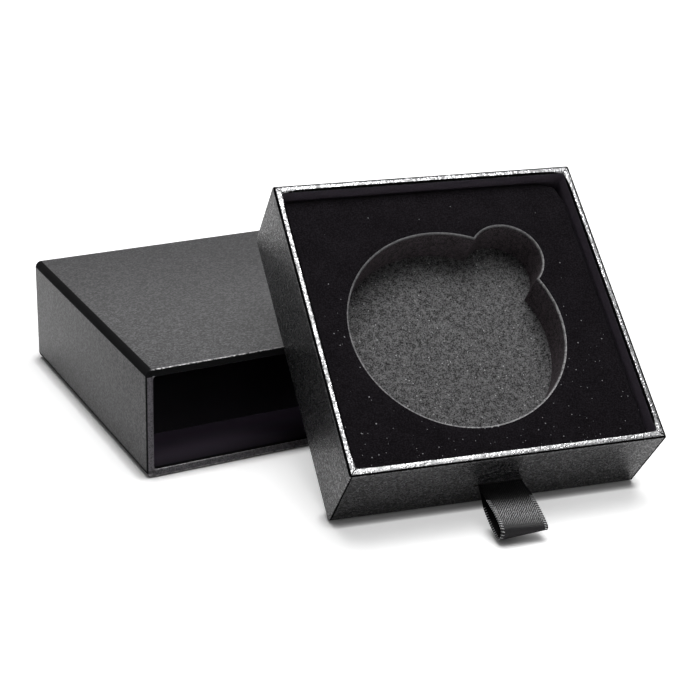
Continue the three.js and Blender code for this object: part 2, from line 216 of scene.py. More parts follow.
class Graph:
    """A node tree that is filled by expressions."""

    def __init__(self, tree: bpy.types.NodeTree) -> None:
        """Empties the tree."""
        self.tree = tree
        tree.nodes.clear()

    def add(
        self,
        kind: str,
        inputs: dict[int | str, Any] | None = None,
        output: int = 0,
        **settings: Any,
    ) -> Wire:
        """Adds a node.

        Args:
            kind: The node's type.
            inputs: Values or wires by socket name or index.
            output: The index of the output to return.
            settings: The node's own properties, set first.

        Returns:
            The chosen output.
        """
        node = self.tree.nodes.new(kind)
        for name, value in settings.items():
            setattr(node, name, value)
        for key, value in (inputs or {}).items():
            self.plug(node.inputs[key], value)
        return Wire(self, node.outputs[output] if node.outputs else None)

    def plug(self, socket: bpy.types.NodeSocket, value: Any) -> None:
        """Links a wire to a socket, or writes a number or colour on it."""
        if isinstance(value, Wire):
            self.tree.links.new(value.socket, socket)
        elif socket.type == "RGBA" and len(value) == 3:
            socket.default_value = (*value, 1.0)
        else:
            socket.default_value = value

    def math(self, operation: str, *values: "Wire | float") -> Wire:
        """Adds a Math node and returns its result."""
        return self.add("ShaderNodeMath", dict(enumerate(values)), operation=operation)

    def mix(self, factor: Wire, first: Any, second: Any) -> Wire:
        """Returns the colour between first and second at a factor."""
        inputs = {0: factor, 6: first, 7: second}
        return self.add("ShaderNodeMix", inputs, output=2, data_type="RGBA")

    def coordinates(self, place: Matrix | None = None) -> Wire:
        """Gives Object coordinates, turned into a piece's own frame where a place is given.

        Args:
            place: The matrix from the piece's own frame to the row frame.

        Returns:
            The vector in metres.
        """
        point = self.add("ShaderNodeTexCoord", output=3)
        if place is None:
            return point
        back = place.inverted()
        turned = {0: point, 1: back.to_translation(), 2: back.to_euler()}
        return self.add("ShaderNodeMapping", turned, vector_type="POINT")

    def split(self, vector: Wire) -> tuple[Wire, Wire, Wire]:
        """Returns a vector's three parts."""
        node = self.tree.nodes.new("ShaderNodeSeparateXYZ")
        self.plug(node.inputs[0], vector)
        x, y, z = (Wire(self, output) for output in node.outputs)
        return x, y, z

    def noise(self, point: Wire, size: float, detail: float = 2.0, roughness: float = 0.5) -> Wire:
        """Returns smooth noise from 0 to 1 whose lumps are about the given size."""
        inputs = {"Vector": point, "Scale": 1.0 / size, "Detail": detail, "Roughness": roughness}
        return self.add("ShaderNodeTexNoise", inputs)

    def cells(self, point: Wire, size: float, output: int = 0) -> Wire:
        """Returns the distance to the nearest cell's centre, in cells, or another output."""
        inputs = {"Vector": point, "Scale": 1.0 / size}
        return self.add("ShaderNodeTexVoronoi", inputs, output=output)

    def luck(self, point: Wire, size: float) -> Wire:
        """Returns a chance number from 0 to 1 for each cell."""
        return self.split(self.cells(point, size, output=1))[0]

    def bump(self, height: Wire, distance: float) -> Wire:
        """Returns a normal that follows a height."""
        return self.add("ShaderNodeBump", {"Height": height, "Distance": distance})

    def sight(self) -> tuple[Wire, Wire]:
        """Returns 1 where the camera sees, and 1 where a mirror or glass does."""
        camera, glossy, glass = (self.add("ShaderNodeLightPath", output=i) for i in (0, 3, 6))
        return camera, glossy + glass

    def surface(self, colour: Wire, roughness: float, normal: Wire, shine: float = 0.5) -> None:
        """Adds the Principled shader and the output."""
        inputs = {"Base Color": colour, "Roughness": roughness, "Normal": normal}
        shader = self.add("ShaderNodeBsdfPrincipled", inputs | {"Specular IOR Level": shine})
        self.add("ShaderNodeOutputMaterial", {0: shader})


@dataclass(frozen=True)
class Finish:
    """A named material. place is the frame that its pattern keeps to."""

    name: str
    place: Matrix | None = field(default=None, compare=False)

    def paint(self, graph: Graph) -> None:
        """Fills the graph."""
        raise NotImplementedError

    def material(self) -> bpy.types.Material:
        """Returns the material, made once."""
        found = bpy.data.materials.get(self.name)
        if found is None:
            found = bpy.data.materials.new(self.name)
            found.use_nodes = True
            self.paint(Graph(found.node_tree))
        return found


@dataclass(frozen=True)
class SleeveFolds:
    """Where the sleeve's paper gets painted shade, a paler band and painted highlights.

    band is the width of the painted shade round the long edges, and the shares that end in _share
    are parts of another size. The mouth's face is paler, and below it keeps only the low share of
    that.
    """

    half_x: float = SLEEVE.width / 2
    half_z: float = SLEEVE.wrap_height / 2
    middle_z: float = STOCK.stack + SLEEVE.wrap_height / 2
    mouth_y: float = -SLEEVE.depth / 2
    band: float = SLEEVE.fold_radius
    wall: float = SLEEVE.wall
    lip: float = mm(0.28)
    edge: float = mm(0.45)
    line: float = mm(0.16)
    blur: float = mm(0.12)
    low_paleness: float = 0.45
    wall_share: float = 0.9
    line_shares: Ramp = (0.6, 1.0)
    inner_shares: Ramp = (0.4, 1.0)
    corner_shares: Ramp = (1.4, 2.2)
    foot_shares: Ramp = (0.5, 0.6)
    foot_side_share: float = 0.9
    faint: float = 0.6

    def spread(self, shares: Ramp, size: float) -> Ramp:
        """Returns both shares of a size."""
        return shares[0] * size, shares[1] * size

    def frame(self, graph: Graph, point: Wire) -> tuple[Wire, Wire, Wire, Wire]:
        """Finds a point's place on the sleeve.

        Args:
            graph: The graph to add to.
            point: The point.

        Returns:
            How far it is to the side, its level, and 1 at the mouth and on its face.
        """
        x, y, z = graph.split(point)
        edge = self.mouth_y + self.edge
        face = y.fall(self.mouth_y + self.blur, self.mouth_y + self.blur * 2)
        return abs(x), z - self.middle_z, y.fall(edge, edge + self.blur), face

    def dark_lines(self, graph: Graph, point: Wire) -> Wire:
        """Returns 1 round the long edges, beside the mouth's upright edges and over it."""
        side, level, at_mouth, face = self.frame(graph, point)
        start_x, start_z = self.half_x - self.band, self.half_z - self.band
        long_edge = side.rise(start_x - self.blur, start_x + self.blur)
        long_edge = long_edge * abs(level).rise(start_z - self.blur, start_z + self.blur)
        long_edge = long_edge * (1.0 - face * (0.0 - level).rise(0.0, self.blur))
        upright = side.rise(self.half_x - self.lip - self.blur, self.half_x - self.lip) * at_mouth
        top = level.rise(self.half_z - self.wall, self.half_z - self.wall + self.blur) * face
        # All three are painted shade: the folds and the mouth's edges are painted dark and matte.
        return long_edge.most(upright).most(top)

    def pale_bands(self, graph: Graph, point: Wire) -> Wire:
        """Returns 1 on the mouth's own face, at both sides and below."""
        _, level, at_mouth, _ = self.frame(graph, point)
        low = level.rise(self.wall * self.wall_share - self.half_z, self.wall - self.half_z)
        low = low * (1.0 - self.low_paleness) + self.low_paleness
        start = self.half_z - self.band
        return at_mouth * low * level.fall(start - self.blur, start)

    def glints(self, graph: Graph, point: Wire) -> Wire:
        """Returns 1 on thin painted highlights along the mouth's folds and low on the long edges.
        """
        side, level, at_mouth, _ = self.frame(graph, point)
        thin, thick = self.spread(self.line_shares, self.line)
        outer = level.near(self.lip - self.half_z, thin, thick)
        outer = outer.most(level.rise(self.half_z - thick, self.half_z - thin))
        inner_x, inner_z = self.half_x - self.wall, self.half_z - self.wall
        inner = abs(level).near(inner_z, *self.spread(self.inner_shares, self.line))
        inner = inner * side.fall(inner_x, inner_x + self.blur)
        off = abs(side - inner_x).most(abs(level - inner_z))
        inner = (inner * self.faint).most(off.fall(*self.spread(self.corner_shares, self.line)))
        foot = (level + self.half_z).fall(*self.spread(self.foot_shares, self.band))
        start, end = (self.half_x - self.band * share for share in (1.0, self.foot_side_share))
        foot = foot * side.rise(start, end)
        return (outer.most(inner) * at_mouth).most(foot * self.faint)


@dataclass(frozen=True)
class RimFolds:
    """Where the drawer's paper gets painted shade and painted highlights, at its rim and upright
    edges.

    The rim's two dark fold lines are painted shade, its dark mitre and seam lines are joints, and
    its paler top adds a painted highlight. opened is how much narrower the shade lines are at the
    front.
    roundness is the power that rounds the inner shade line at the corners: the lower, the rounder.
    The blurs are counted in blur.
    """

    half: float = DRAWER.width / 2
    wall: float = DRAWER.wall
    top: float = DRAWER.height
    outer: float = mm(0.6)
    inner: float = mm(0.62)
    opened: float = 0.28
    roundness: float = 24.0
    # How strong the painted highlights are along the front and on the outer fold.
    front_glint: float = 0.6
    fold_glint: float = 0.4
    depth: float = mm(0.3)
    fold_share: float = 2.2
    seam: float = mm(0.55)
    seam_width: float = mm(0.34)
    blur: float = mm(0.12)
    upright_blurs: Ramp = (2.5, 1.5)
    fold_blurs: Ramp = (1.0, 2.5)
    reach_blurs: Ramp = (3.0, 1.0)

    def frame(self, graph: Graph, point: Wire) -> tuple[Wire, Wire, Wire, Wire]:
        """Returns a point's distances from the middle, its level, and 1 at the front."""
        x, y, z = graph.split(point)
        return abs(x), abs(y), z, (0.0 - y - abs(x)).rise(0.0, self.blur)

    def dark_lines(self, graph: Graph, point: Wire) -> Wire:
        """Returns 1 in the rim's painted shade lines, its mitres, and the upright seams front and
        back.
        """
        x, y, z, front = self.frame(graph, point)
        reach = x.most(y)
        opened = front * self.opened
        outer_line = self.half - self.outer
        outer = (reach - opened * self.outer).rise(outer_line - self.blur, outer_line)
        inner_line = self.half - self.wall + self.inner
        powers = [(part * (1.0 / self.half)) ** self.roundness for part in (x, y)]
        rounded = (powers[0] + powers[1]) ** (1.0 / self.roundness) * self.half
        inner = (rounded + opened * self.inner).fall(inner_line, inner_line + self.blur)
        near_top = z.rise(self.top - self.depth - self.blur, self.top - self.depth)
        ring = outer.most(inner) * near_top
        mitre = x.near(y, self.blur, self.blur * 2.0) * near_top
        wall = self.half - self.wall
        ring = ring.most(mitre * reach.rise(wall, wall + self.blur))
        seam = x.near(self.half - self.seam, self.seam_width / 2, self.seam_width / 2 + self.blur)
        return ring.most(seam * y.rise(self.half - self.blur, self.half - self.blur / 2))

    def pale_bands(self, graph: Graph, point: Wire) -> Wire:
        """Returns 1 along the rim's top, between its shade lines.

        The paler colour there adds a painted highlight.
        """
        level = self.top - self.depth
        return graph.split(point)[2].rise(level, level + self.blur)

    def glints(self, graph: Graph, point: Wire) -> Wire:
        """Returns 1 for painted highlights on the upright edges, the rim's outer fold and its
        front.
        """
        x, y, z, front = self.frame(graph, point)
        upright_start, upright_end = (self.half - self.blur * count for count in self.upright_blurs)
        reach_start, reach_end = (self.half - self.blur * count for count in self.reach_blurs)
        upright = graph.math("MINIMUM", x, y).rise(upright_start, upright_end)
        fold_start, fold_end = (self.blur * count for count in self.fold_blurs)
        fold = z.near(self.top - self.depth * self.fold_share, fold_start, fold_end)
        edges = upright.most(fold * x.most(y).rise(reach_start, reach_end) * self.fold_glint)
        front = front * self.pale_bands(graph, point)
        return edges.most(front * (1.0 - self.dark_lines(graph, point)) * self.front_glint)


@dataclass(frozen=True)
class PearlPaper(Finish):
    """Black cover paper with a glossy pearl grain, with painted shade and painted highlights.

    Its dark lines are matte painted shade, and on the drawer also real mitre and seam lines. It is
    paler in bands at some edges, which on the rim adds a painted highlight, and its glints are
    painted highlights. Each ramp gives the values of a pattern at which something starts and is
    complete.
    """

    dark: Colour = (0.010, 0.0098, 0.0104)
    light: Colour = (0.11, 0.108, 0.113)
    metallic: float = 0.34
    roughness: float = 0.34
    grain: float = mm(0.42)
    grain_height: float = mm(0.005)
    shine: float = 0.4
    speckle: float = 0.03
    folds: SleeveFolds | RimFolds = field(default_factory=SleeveFolds)
    # Painted colours: shade in the dark lines, paler bands at some edges, highlights in the glints.
    fold_colour: Colour = (0.006, 0.006, 0.0065)
    fold_shine: float = 0.08
    fold_roughness: float = 0.8
    paleness_colour: Colour = (0.13, 0.118, 0.138)
    glint_colour: Colour = (0.45, 0.44, 0.45)
    cloud_grains: float = 14.0
    cloud_share: float = 0.2
    flake_ramp: Ramp = (0.3, 1.0)
    paleness_ramp: Ramp = (0.3, 0.52)
    paleness_luck: float = 0.5
    glint_breakup_grains: float = 2.4
    glint_breakup_ramp: Ramp = (0.34, 0.6)

    def paint(self, graph: Graph) -> None:
        """Fills the graph."""
        point = graph.coordinates(self.place)
        fine = graph.noise(point, self.grain, roughness=0.6)
        cloud = graph.noise(point, self.grain * self.cloud_grains)
        luck = graph.luck(point, self.grain)
        flake = (luck + (cloud - 0.5) * self.cloud_share).rise(*self.flake_ramp)
        # Paler colour in bands at some edges; on the rim's top it adds a painted highlight.
        paleness = self.folds.pale_bands(graph, point) * fine.rise(*self.paleness_ramp)
        paleness = paleness * (luck * self.paleness_luck + (1.0 - self.paleness_luck))
        # Painted highlights: the glint lines, broken up by noise, are painted pale and metallic.
        glint_breakup = graph.noise(point, self.grain * self.glint_breakup_grains).rise(*self.glint_breakup_ramp)
        painted_glint = self.folds.glints(graph, point) * glint_breakup
        colour = graph.mix(flake, self.dark, self.light)
        colour = graph.mix(paleness, colour, self.paleness_colour)
        paper = {
            "Base Color": graph.mix(painted_glint, colour, self.glint_colour),
            "Metallic": flake.most(painted_glint) * self.metallic,
            "Roughness": self.roughness - flake * self.speckle,
            "Specular IOR Level": self.shine,
        }
        matte = {
            "Base Color": self.fold_colour,
            "Roughness": self.fold_roughness,
            "Specular IOR Level": self.fold_shine,
        }
        # The dark lines get the matte shader: painted shade, and on the drawer also its mitre and
        # seam lines.
        normal = graph.bump(1.0 - graph.cells(point, self.grain), self.grain_height)
        shaders = {0: self.folds.dark_lines(graph, point) * (1.0 - painted_glint)}
        for index, inputs in enumerate((paper, matte), start=1):
            shaders[index] = graph.add("ShaderNodeBsdfPrincipled", inputs | {"Normal": normal})
        graph.add("ShaderNodeOutputMaterial", {0: graph.add("ShaderNodeMixShader", shaders)})


@dataclass(frozen=True)
class ShadePaper(Finish):
    """The same paper inside the box, painted plum black as it looks in shade. The lining uses it
    too.

    Where a Y to start at, a Y to end at and a colour are given, it is painted paler from the first
    Y to that colour at the second, as painted light for the light that falls off inside the mouth.
    Up to a set distance past the first Y it is black, a painted shadow under the inner lip.
    """

    colour: Colour = (0.066, 0.054, 0.072)
    pale: Colour = (0.1, 0.084, 0.109)
    roughness: float = 0.7
    shine: float = 0.35
    fibre: float = mm(0.4)
    fibre_height: float = mm(0.01)
    fibre_ramp: Ramp = (0.4, 0.72)
    painted_light: tuple[float, float, Colour] | None = None
    painted_light_power: float = 1.4
    lip_shadow_start: float = mm(0.9)
    lip_shadow_end: float = mm(1.2)

    def paint(self, graph: Graph) -> None:
        """Fills the graph."""
        point = graph.coordinates(self.place)
        fibre = graph.noise(point, self.fibre, detail=3.0)
        colour = graph.mix(fibre.rise(*self.fibre_ramp), self.colour, self.pale)
        if self.painted_light is not None:
            # Painted light: paler further in, making up for the light that falls off inside the
            # mouth.
            start, end, deep = self.painted_light
            inwards = graph.split(point)[1]
            colour = graph.mix(inwards.rise(start, end) ** self.painted_light_power, colour, deep)
            # Painted shadow: black just past the start, under the inner lip.
            opened = inwards.rise(start + self.lip_shadow_start, start + self.lip_shadow_end)
            colour = graph.mix(opened, BLACK, colour)
        graph.surface(colour, self.roughness, graph.bump(fibre, self.fibre_height), self.shine)


@dataclass(frozen=True)
class Fibres(Finish):
    """A colour with fibres or flecks of a second one over it.

    Where a Y to start at, a Y to end at and a share are given, the second colour is faded as
    painted
    shade: it starts to fade at the first Y, has faded most at the second, and has then lost the
    share.
    """

    colour: Colour = (0.18, 0.17, 0.15)
    fleck: Colour = (0.09, 0.085, 0.08)
    roughness: float = 0.9
    fibre: float = mm(0.5)
    detail: float = 4.0
    tangle: float = 0.7
    relief: float = mm(0.03)
    ramp: Ramp = (0.5, 0.75)
    painted_shade: tuple[float, float, float] | None = None

    def paint(self, graph: Graph) -> None:
        """Fills the graph."""
        point = graph.coordinates(self.place)
        fibre = graph.noise(point, self.fibre, self.detail, self.tangle)
        share = fibre.rise(*self.ramp)
        # Painted shade: the second colour fades towards the back.
        if self.painted_shade is not None:
            start, end, lost = self.painted_shade
            share = share * (1.0 - graph.split(point)[1].rise(start, end) * lost)
        colour = graph.mix(share, self.colour, self.fleck)
        graph.surface(colour, self.roughness, graph.bump(fibre, self.relief))


@dataclass(frozen=True)
class Sponge(Finish):
    """Open-cell foam: a grey felt of fine struts, with dark pores and a few bright points."""

    dark: Colour = (0.022, 0.0215, 0.022)
    light: Colour = (0.21, 0.208, 0.212)
    pore: Colour = (0.006, 0.006, 0.006)
    point: Colour = (0.55, 0.55, 0.55)
    roughness: float = 0.95
    shine: float = 0.2
    grain: float = mm(0.4)
    relief: float = mm(0.12)
    lump_grains: float = 3.2
    lump_share: float = 0.35
    lump_height: float = 0.5
    felt_ramp: Ramp = (0.38, 0.64)
    cell_grains: float = 2.0
    pore_ramp: Ramp = (0.2, 0.34)
    pore_chance: Ramp = (0.86, 0.9)
    point_ramp: Ramp = (0.16, 0.26)
    point_chance: Ramp = (0.07, 0.1)

    def paint(self, graph: Graph) -> None:
        """Fills the graph."""
        where = graph.coordinates(self.place)
        fine = graph.noise(where, self.grain, detail=3.0, roughness=0.7)
        lumps = graph.noise(where, self.grain * self.lump_grains)
        felt = (fine + (lumps - 0.5) * self.lump_share).rise(*self.felt_ramp)
        cells = graph.cells(where, self.grain * self.cell_grains)
        chance = graph.luck(where, self.grain * self.cell_grains)
        pores = cells.fall(*self.pore_ramp) * chance.rise(*self.pore_chance)
        points = cells.fall(*self.point_ramp) * chance.fall(*self.point_chance)
        colour = graph.mix(pores, graph.mix(felt, self.dark, self.light), self.pore)
        colour = graph.mix(points, colour, self.point)
        normal = graph.bump(fine + lumps * self.lump_height, self.relief)
        graph.surface(colour, self.roughness, normal, self.shine)


@dataclass(frozen=True)
class Flock(Finish):
    """Deep black flocking that swallows light, with a few specks of pale lint.

    Each kind of lint has the size of its cells, its radius and its chance in a cell. More of it has
    settled towards the front.
    """

    colour: Colour = (0.0048, 0.004, 0.0051)
    nap: Colour = (0.017, 0.0147, 0.018)
    lint: Colour = (0.36, 0.36, 0.38)
    roughness: float = 1.0
    shine: float = 0.05
    fibre: float = mm(0.4)
    fibre_height: float = mm(0.08)
    cloud: float = mm(7.0)
    cloud_share: float = 0.15
    nap_ramp: Ramp = (0.4, 0.66)
    lints: tuple[tuple[float, float, float], ...] = (
        (mm(3.6), mm(0.14), 0.2),
        (mm(2.0), mm(0.105), 0.2),
        (mm(1.2), mm(0.075), 0.12),
    )
    lint_blur: float = 1.6
    lint_margin: float = 0.02
    settled_front: float = 0.4
    settled_fall: float = 0.53
    settled_reach: Ramp = (-DRAWER.depth / 2, DRAWER.depth / 4)

    def paint(self, graph: Graph) -> None:
        """Fills the graph."""
        point = graph.coordinates(self.place)
        fibre = graph.noise(point, self.fibre, detail=3.0, roughness=0.7)
        cloud = graph.noise(point, self.cloud)
        nap = (fibre + (cloud - 0.5) * self.cloud_share).rise(*self.nap_ramp)
        colour = graph.mix(nap, self.colour, self.nap)
        back = graph.split(point)[1]
        settled = self.settled_front - back.rise(*self.settled_reach) * self.settled_fall
        for size, radius, share in self.lints:
            rare = (graph.luck(point, size) - settled).fall(share, share + self.lint_margin)
            speck = graph.cells(point, size).fall(radius / size, self.lint_blur * radius / size)
            colour = graph.mix(speck * rare, colour, self.lint)
        graph.surface(colour, self.roughness, graph.bump(fibre, self.fibre_height), self.shine)


@dataclass(frozen=True)
class Satin(Finish):
    """Black satin with a slanting twill, read from the ribbon's own UV map in metres.

    The fold at the loop's tip is at crease_at. The sheen is painted into the colour: the floats are
    painted paler over the loop's outer half, the sheen dims ahead of the fold and ends just short
    of it, which leaves a line of painted shade at the fold, and past it the ribbon has its fold
    colour.
    """

    colour: Colour = (0.004, 0.004, 0.0043)
    float_sheen_colour: Colour = (0.4, 0.4, 0.405)
    fold_colour: Colour = (0.0085, 0.0075, 0.009)
    roughness: float = 0.5
    shine: float = 0.25
    pitch: float = mm(0.62)
    slant: float = 0.8
    drift: float = mm(0.9)
    drift_size: float = mm(1.6)
    slub: float = mm(0.5)
    twill_share: float = 0.22
    weave_height: float = mm(0.04)
    weave_ramp: Ramp = (0.4, 0.74)
    edge: float = mm(0.8)
    edge_share: float = 0.7
    half_width: float = mm(6.35)
    sheen_reach: Ramp = (mm(7.0), mm(11.0))
    least_sheen: float = 0.08
    crease_at: float = mm(16.6)
    crease_slant: float = 0.06
    dim_reach: Ramp = (mm(-3.4), mm(-0.3))
    dim_share: float = 0.75
    end_reach: Ramp = (mm(-0.5), mm(-0.2))
    fold_reach: Ramp = (mm(0.2), mm(0.8))

    def paint(self, graph: Graph) -> None:
        """Fills the graph."""
        flat = graph.add("ShaderNodeTexCoord", output=2)
        across, along, _ = graph.split(flat)
        drift = graph.noise(flat, self.drift_size) * self.drift
        turns = (along * self.slant + across + drift) * (2.0 * math.pi / self.pitch)
        slub = graph.noise(flat, self.slub, roughness=0.6)
        weave = graph.math("SINE", turns) * self.twill_share + slub
        past = along - across * self.crease_slant - self.crease_at
        # Painted sheen: the floats are painted paler over the loop's outer half, dimmer near the
        # fold.
        sheen = along.rise(*self.sheen_reach) * (1.0 - self.least_sheen) + self.least_sheen
        sheen = sheen * (1.0 - past.rise(*self.dim_reach) * self.dim_share)
        sheen = sheen * past.fall(*self.end_reach)
        colour = graph.mix(weave.rise(*self.weave_ramp) * sheen, self.colour, self.float_sheen_colour)
        colour = graph.mix(past.rise(*self.fold_reach), colour, self.fold_colour)
        inner = self.half_width - self.edge
        border = abs(across).rise(inner, self.half_width - self.edge * self.edge_share)
        colour = graph.mix(border, colour, self.colour)
        graph.surface(colour, self.roughness, graph.bump(weave, self.weave_height), self.shine)


SLEEVE_PAPER = PearlPaper("pearl_paper_sleeve")
DRAWER_PAPER = PearlPaper(
    "pearl_paper_drawer",
    place=LEANING,
    dark=(0.003, 0.003, 0.0033),
    light=(0.24, 0.237, 0.243),
    metallic=1.0,
    roughness=0.36,
    grain=mm(0.38),
    grain_height=mm(0.045),
    shine=0.5,
    speckle=0.18,
    folds=RimFolds(),
    # Painted shade in its dark lines, a paler rim top that adds to its highlight, painted
    # highlights.
    fold_colour=(0.0015, 0.0015, 0.0016),
    fold_shine=0.01,
    paleness_colour=(0.26, 0.26, 0.265),
    glint_colour=(0.3, 0.3, 0.3),
)
# Painted shade: plum-black copies of the pearl paper for the inside. The sleeve's is painted paler
# further in, as painted light, and black at the lip, as a painted shadow.
SLEEVE_SHADE = ShadePaper(
    "shade_paper_sleeve",
    colour=(0.0108, 0.0088, 0.0122),
    pale=(0.0165, 0.0135, 0.0186),
    shine=0.06,
    painted_light=(mm(0.5) - SLEEVE.depth / 2, SLEEVE.turn_in - SLEEVE.depth / 2, (0.36, 0.29, 0.4)),
)
DRAWER_SHADE = ShadePaper("shade_paper_drawer", place=LEANING)
LINING = ShadePaper(
    "black_lining", colour=(0.075, 0.066, 0.078), pale=(0.11, 0.098, 0.117), roughness=0.9
)
GREYBOARD = Fibres("pressed_board")
TAPE = Fibres("brown_corner_tape", colour=(0.46, 0.35, 0.2), fleck=(0.36, 0.27, 0.15))
SPONGE = Sponge("open_sponge", place=LEANING)
# Painted shade: a darker, plum copy of the sponge on the recess's cut walls.
WALL_SPONGE = Sponge(
    "sponge_cut_wall",
    place=LEANING,
    dark=(0.034, 0.028, 0.0315),
    light=(0.12, 0.1, 0.11),
    pore=(0.012, 0.011, 0.011),
    point=(0.07, 0.06, 0.065),
)
FLOCK = Flock("black_flocking", place=LEANING)
# The rolled cut edge is pale partly in its own colour and partly as a painted highlight; it fades
# towards the back as painted shade.
CUT_EDGE = Fibres(
    "cut_edge",
    place=LEANING,
    colour=(0.075, 0.073, 0.077),
    fleck=(0.42, 0.415, 0.425),
    roughness=0.55,
    fibre=mm(0.7),
    detail=3.0,
    tangle=0.5,
    ramp=(0.35, 0.65),
    painted_shade=(mm(-32), mm(22), 0.75),
)
SATIN = Satin("black_satin")
THREAD = Fibres(
    "selvedge_thread",
    colour=(0.38, 0.38, 0.385),
    fleck=(0.8, 0.8, 0.81),
    roughness=0.45,
    fibre=mm(0.4),
    detail=2.0,
    tangle=0.5,
    relief=mm(0.02),
    ramp=(0.35, 0.65),
)


class Piece:
    """A mesh that is shaped step by step with Blender's own tools."""

    def __init__(self, name: str) -> None:
        """Takes over the object that was just added."""
        self.object = bpy.context.active_object
        self.object.name = name
        self.object.data.name = name

    @classmethod
    def block(cls, name: str, low: Sequence[float], high: Sequence[float]) -> "Piece":
        """Adds a cube between two corners.

        Args:
            name: The piece's name.
            low: Its lowest corner.
            high: Its highest corner.

        Returns:
            The piece, with its place in its mesh.
        """
        low, high = Vector(low), Vector(high)
        bpy.ops.mesh.primitive_cube_add(size=1, location=(low + high) / 2)
        piece = cls(name)
        piece.object.scale = high - low
        bpy.ops.object.transform_apply(location=True, rotation=False, scale=True)
        return piece

    @classmethod
    def drum(
        cls, name: str, radius: float, depth: float, sides: int, centre: Sequence[float] = (0, 0, 0)
    ) -> "Piece":
        """Adds an upright cylinder.

        Args:
            name: The piece's name.
            radius: Its radius.
            depth: Its length.
            sides: How many sides it has.
            centre: Its middle.

        Returns:
            The piece, with its place in its mesh.
        """
        bpy.ops.mesh.primitive_cylinder_add(
            vertices=sides, radius=radius, depth=depth, location=centre
        )
        piece = cls(name)
        bpy.ops.object.transform_apply(location=True, rotation=False, scale=False)
        return piece

    def activate(self) -> None:
        """Makes this the only selected object."""
        bpy.ops.object.select_all(action="DESELECT")
        self.object.select_set(True)
        bpy.context.view_layer.objects.active = self.object

    def edit(self) -> "Piece":
        """Enters edit mode."""
        self.activate()
        bpy.ops.object.mode_set(mode="EDIT")
        return self

    def done(self) -> "Piece":
        """Leaves edit mode."""
        bpy.ops.object.mode_set(mode="OBJECT")
        return self

    def pick(self, kind: str, test: Callable[[Any], bool]) -> "Piece":
        """Selects the points, edges or faces that pass a test.

        Args:
            kind: VERT, EDGE or FACE.
            test: Tests one of them.

        Returns:
            The piece.
        """
        bpy.ops.mesh.select_mode(type=kind)
        bpy.ops.mesh.select_all(action="DESELECT")
        mesh = bmesh.from_edit_mesh(self.object.data)
        for part in {"VERT": mesh.verts, "EDGE": mesh.edges, "FACE": mesh.faces}[kind]:
            part.select_set(bool(test(part)))
        if kind == "VERT":
            mesh.select_flush_mode()
        bmesh.update_edit_mesh(self.object.data)
        return self

    def faces(self, test: Test) -> "Piece":
        """Selects the faces whose centre and normal pass a test."""
        return self.pick("FACE", lambda face: test(face.calc_center_median(), face.normal))

    def edges(self, test: Test) -> "Piece":
        """Selects the edges whose two ends pass a test."""
        return self.pick("EDGE", lambda edge: test(edge.verts[0].co, edge.verts[1].co))

    def edges_within(self, test: PointTest) -> "Piece":
        """Selects the edges of which each end passes a test."""
        return self.edges(lambda a, b: test(a) and test(b))

    def uprights(self, length: float) -> "Piece":
        """Selects the edges that rise by more than a length."""
        return self.edges(lambda a, b: abs(a.z - b.z) > length)

    def rim(self, low: float) -> "Piece":
        """Selects the open edges that lie above a level."""
        return self.pick("EDGE", lambda e: e.is_boundary and min(v.co.z for v in e.verts) > low)

    def remove(self, what: str) -> "Piece":
        """Deletes what is selected."""
        bpy.ops.mesh.delete(type=what)
        return self

    def bevel(self, width: float, segments: int) -> "Piece":
        """Rounds the selected edges."""
        bpy.ops.mesh.bevel(offset=width, segments=segments, affect="EDGES", clamp_overlap=False)
        return self

    def pull(self, move: Sequence[float]) -> "Piece":
        """Extrudes the selected edges or faces by a vector."""
        bpy.ops.mesh.extrude_region_move(TRANSFORM_OT_translate={"value": tuple(move)})
        return self

    def resize(self, scale: Sequence[float], centre: Sequence[float]) -> "Piece":
        """Scales what is selected about a point."""
        bpy.ops.transform.resize(value=tuple(scale), center_override=tuple(centre))
        return self

    def modify(self, kind: str, **settings: Any) -> "Piece":
        """Adds a modifier and applies it.

        Args:
            kind: The modifier's type.
            settings: Its properties.

        Returns:
            The piece.
        """
        self.activate()
        modifier = self.object.modifiers.new(kind, kind)
        for name, value in settings.items():
            setattr(modifier, name, value)
        bpy.ops.object.modifier_apply(modifier=modifier.name)
        return self

    def carve(self, *cutters: "Piece") -> "Piece":
        """Cuts other pieces out of this one and removes them."""
        for cutter in cutters:
            self.modify("BOOLEAN", operation="DIFFERENCE", solver="EXACT", object=cutter.object)
            bpy.data.objects.remove(cutter.object)
        return self

    def thicken(self, thickness: float) -> "Piece":
        """Gives a sheet its thickness, inwards from the face it has."""
        return self.modify("SOLIDIFY", thickness=thickness, offset=-1, use_even_offset=True)

    def join(self, others: Iterable[bpy.types.Object]) -> None:
        """Takes other objects' meshes into this one."""
        self.activate()
        for other in others:
            other.select_set(True)
        bpy.ops.object.join()

    def paint(self, base: Finish, *parts: tuple[Finish, Test]) -> "Piece":
        """Gives every face a finish.

        Args:
            base: The finish of the faces that pass no test.
            parts: Other finishes, each with the test of a face's centre and normal.

        Returns:
            The piece.
        """
        data = self.object.data
        data.materials.clear()
        data.materials.append(base.material())
        for index, (finish, test) in enumerate(parts, start=1):
            data.materials.append(finish.material())
            for polygon in data.polygons:
                if test(polygon.center, polygon.normal):
                    polygon.material_index = index
        return self

    def ruffle(self, size: float, height: float, test: PointTest) -> "Piece":
        """Moves points along their normals by smooth noise.

        Args:
            size: The width of a lump.
            height: The furthest that a point moves.
            test: Which points move.

        Returns:
            The piece.
        """
        for vert in self.object.data.vertices:
            if test(vert.co):
                vert.co += vert.normal * height * noise.noise(vert.co / size)
        self.object.data.update()
        return self

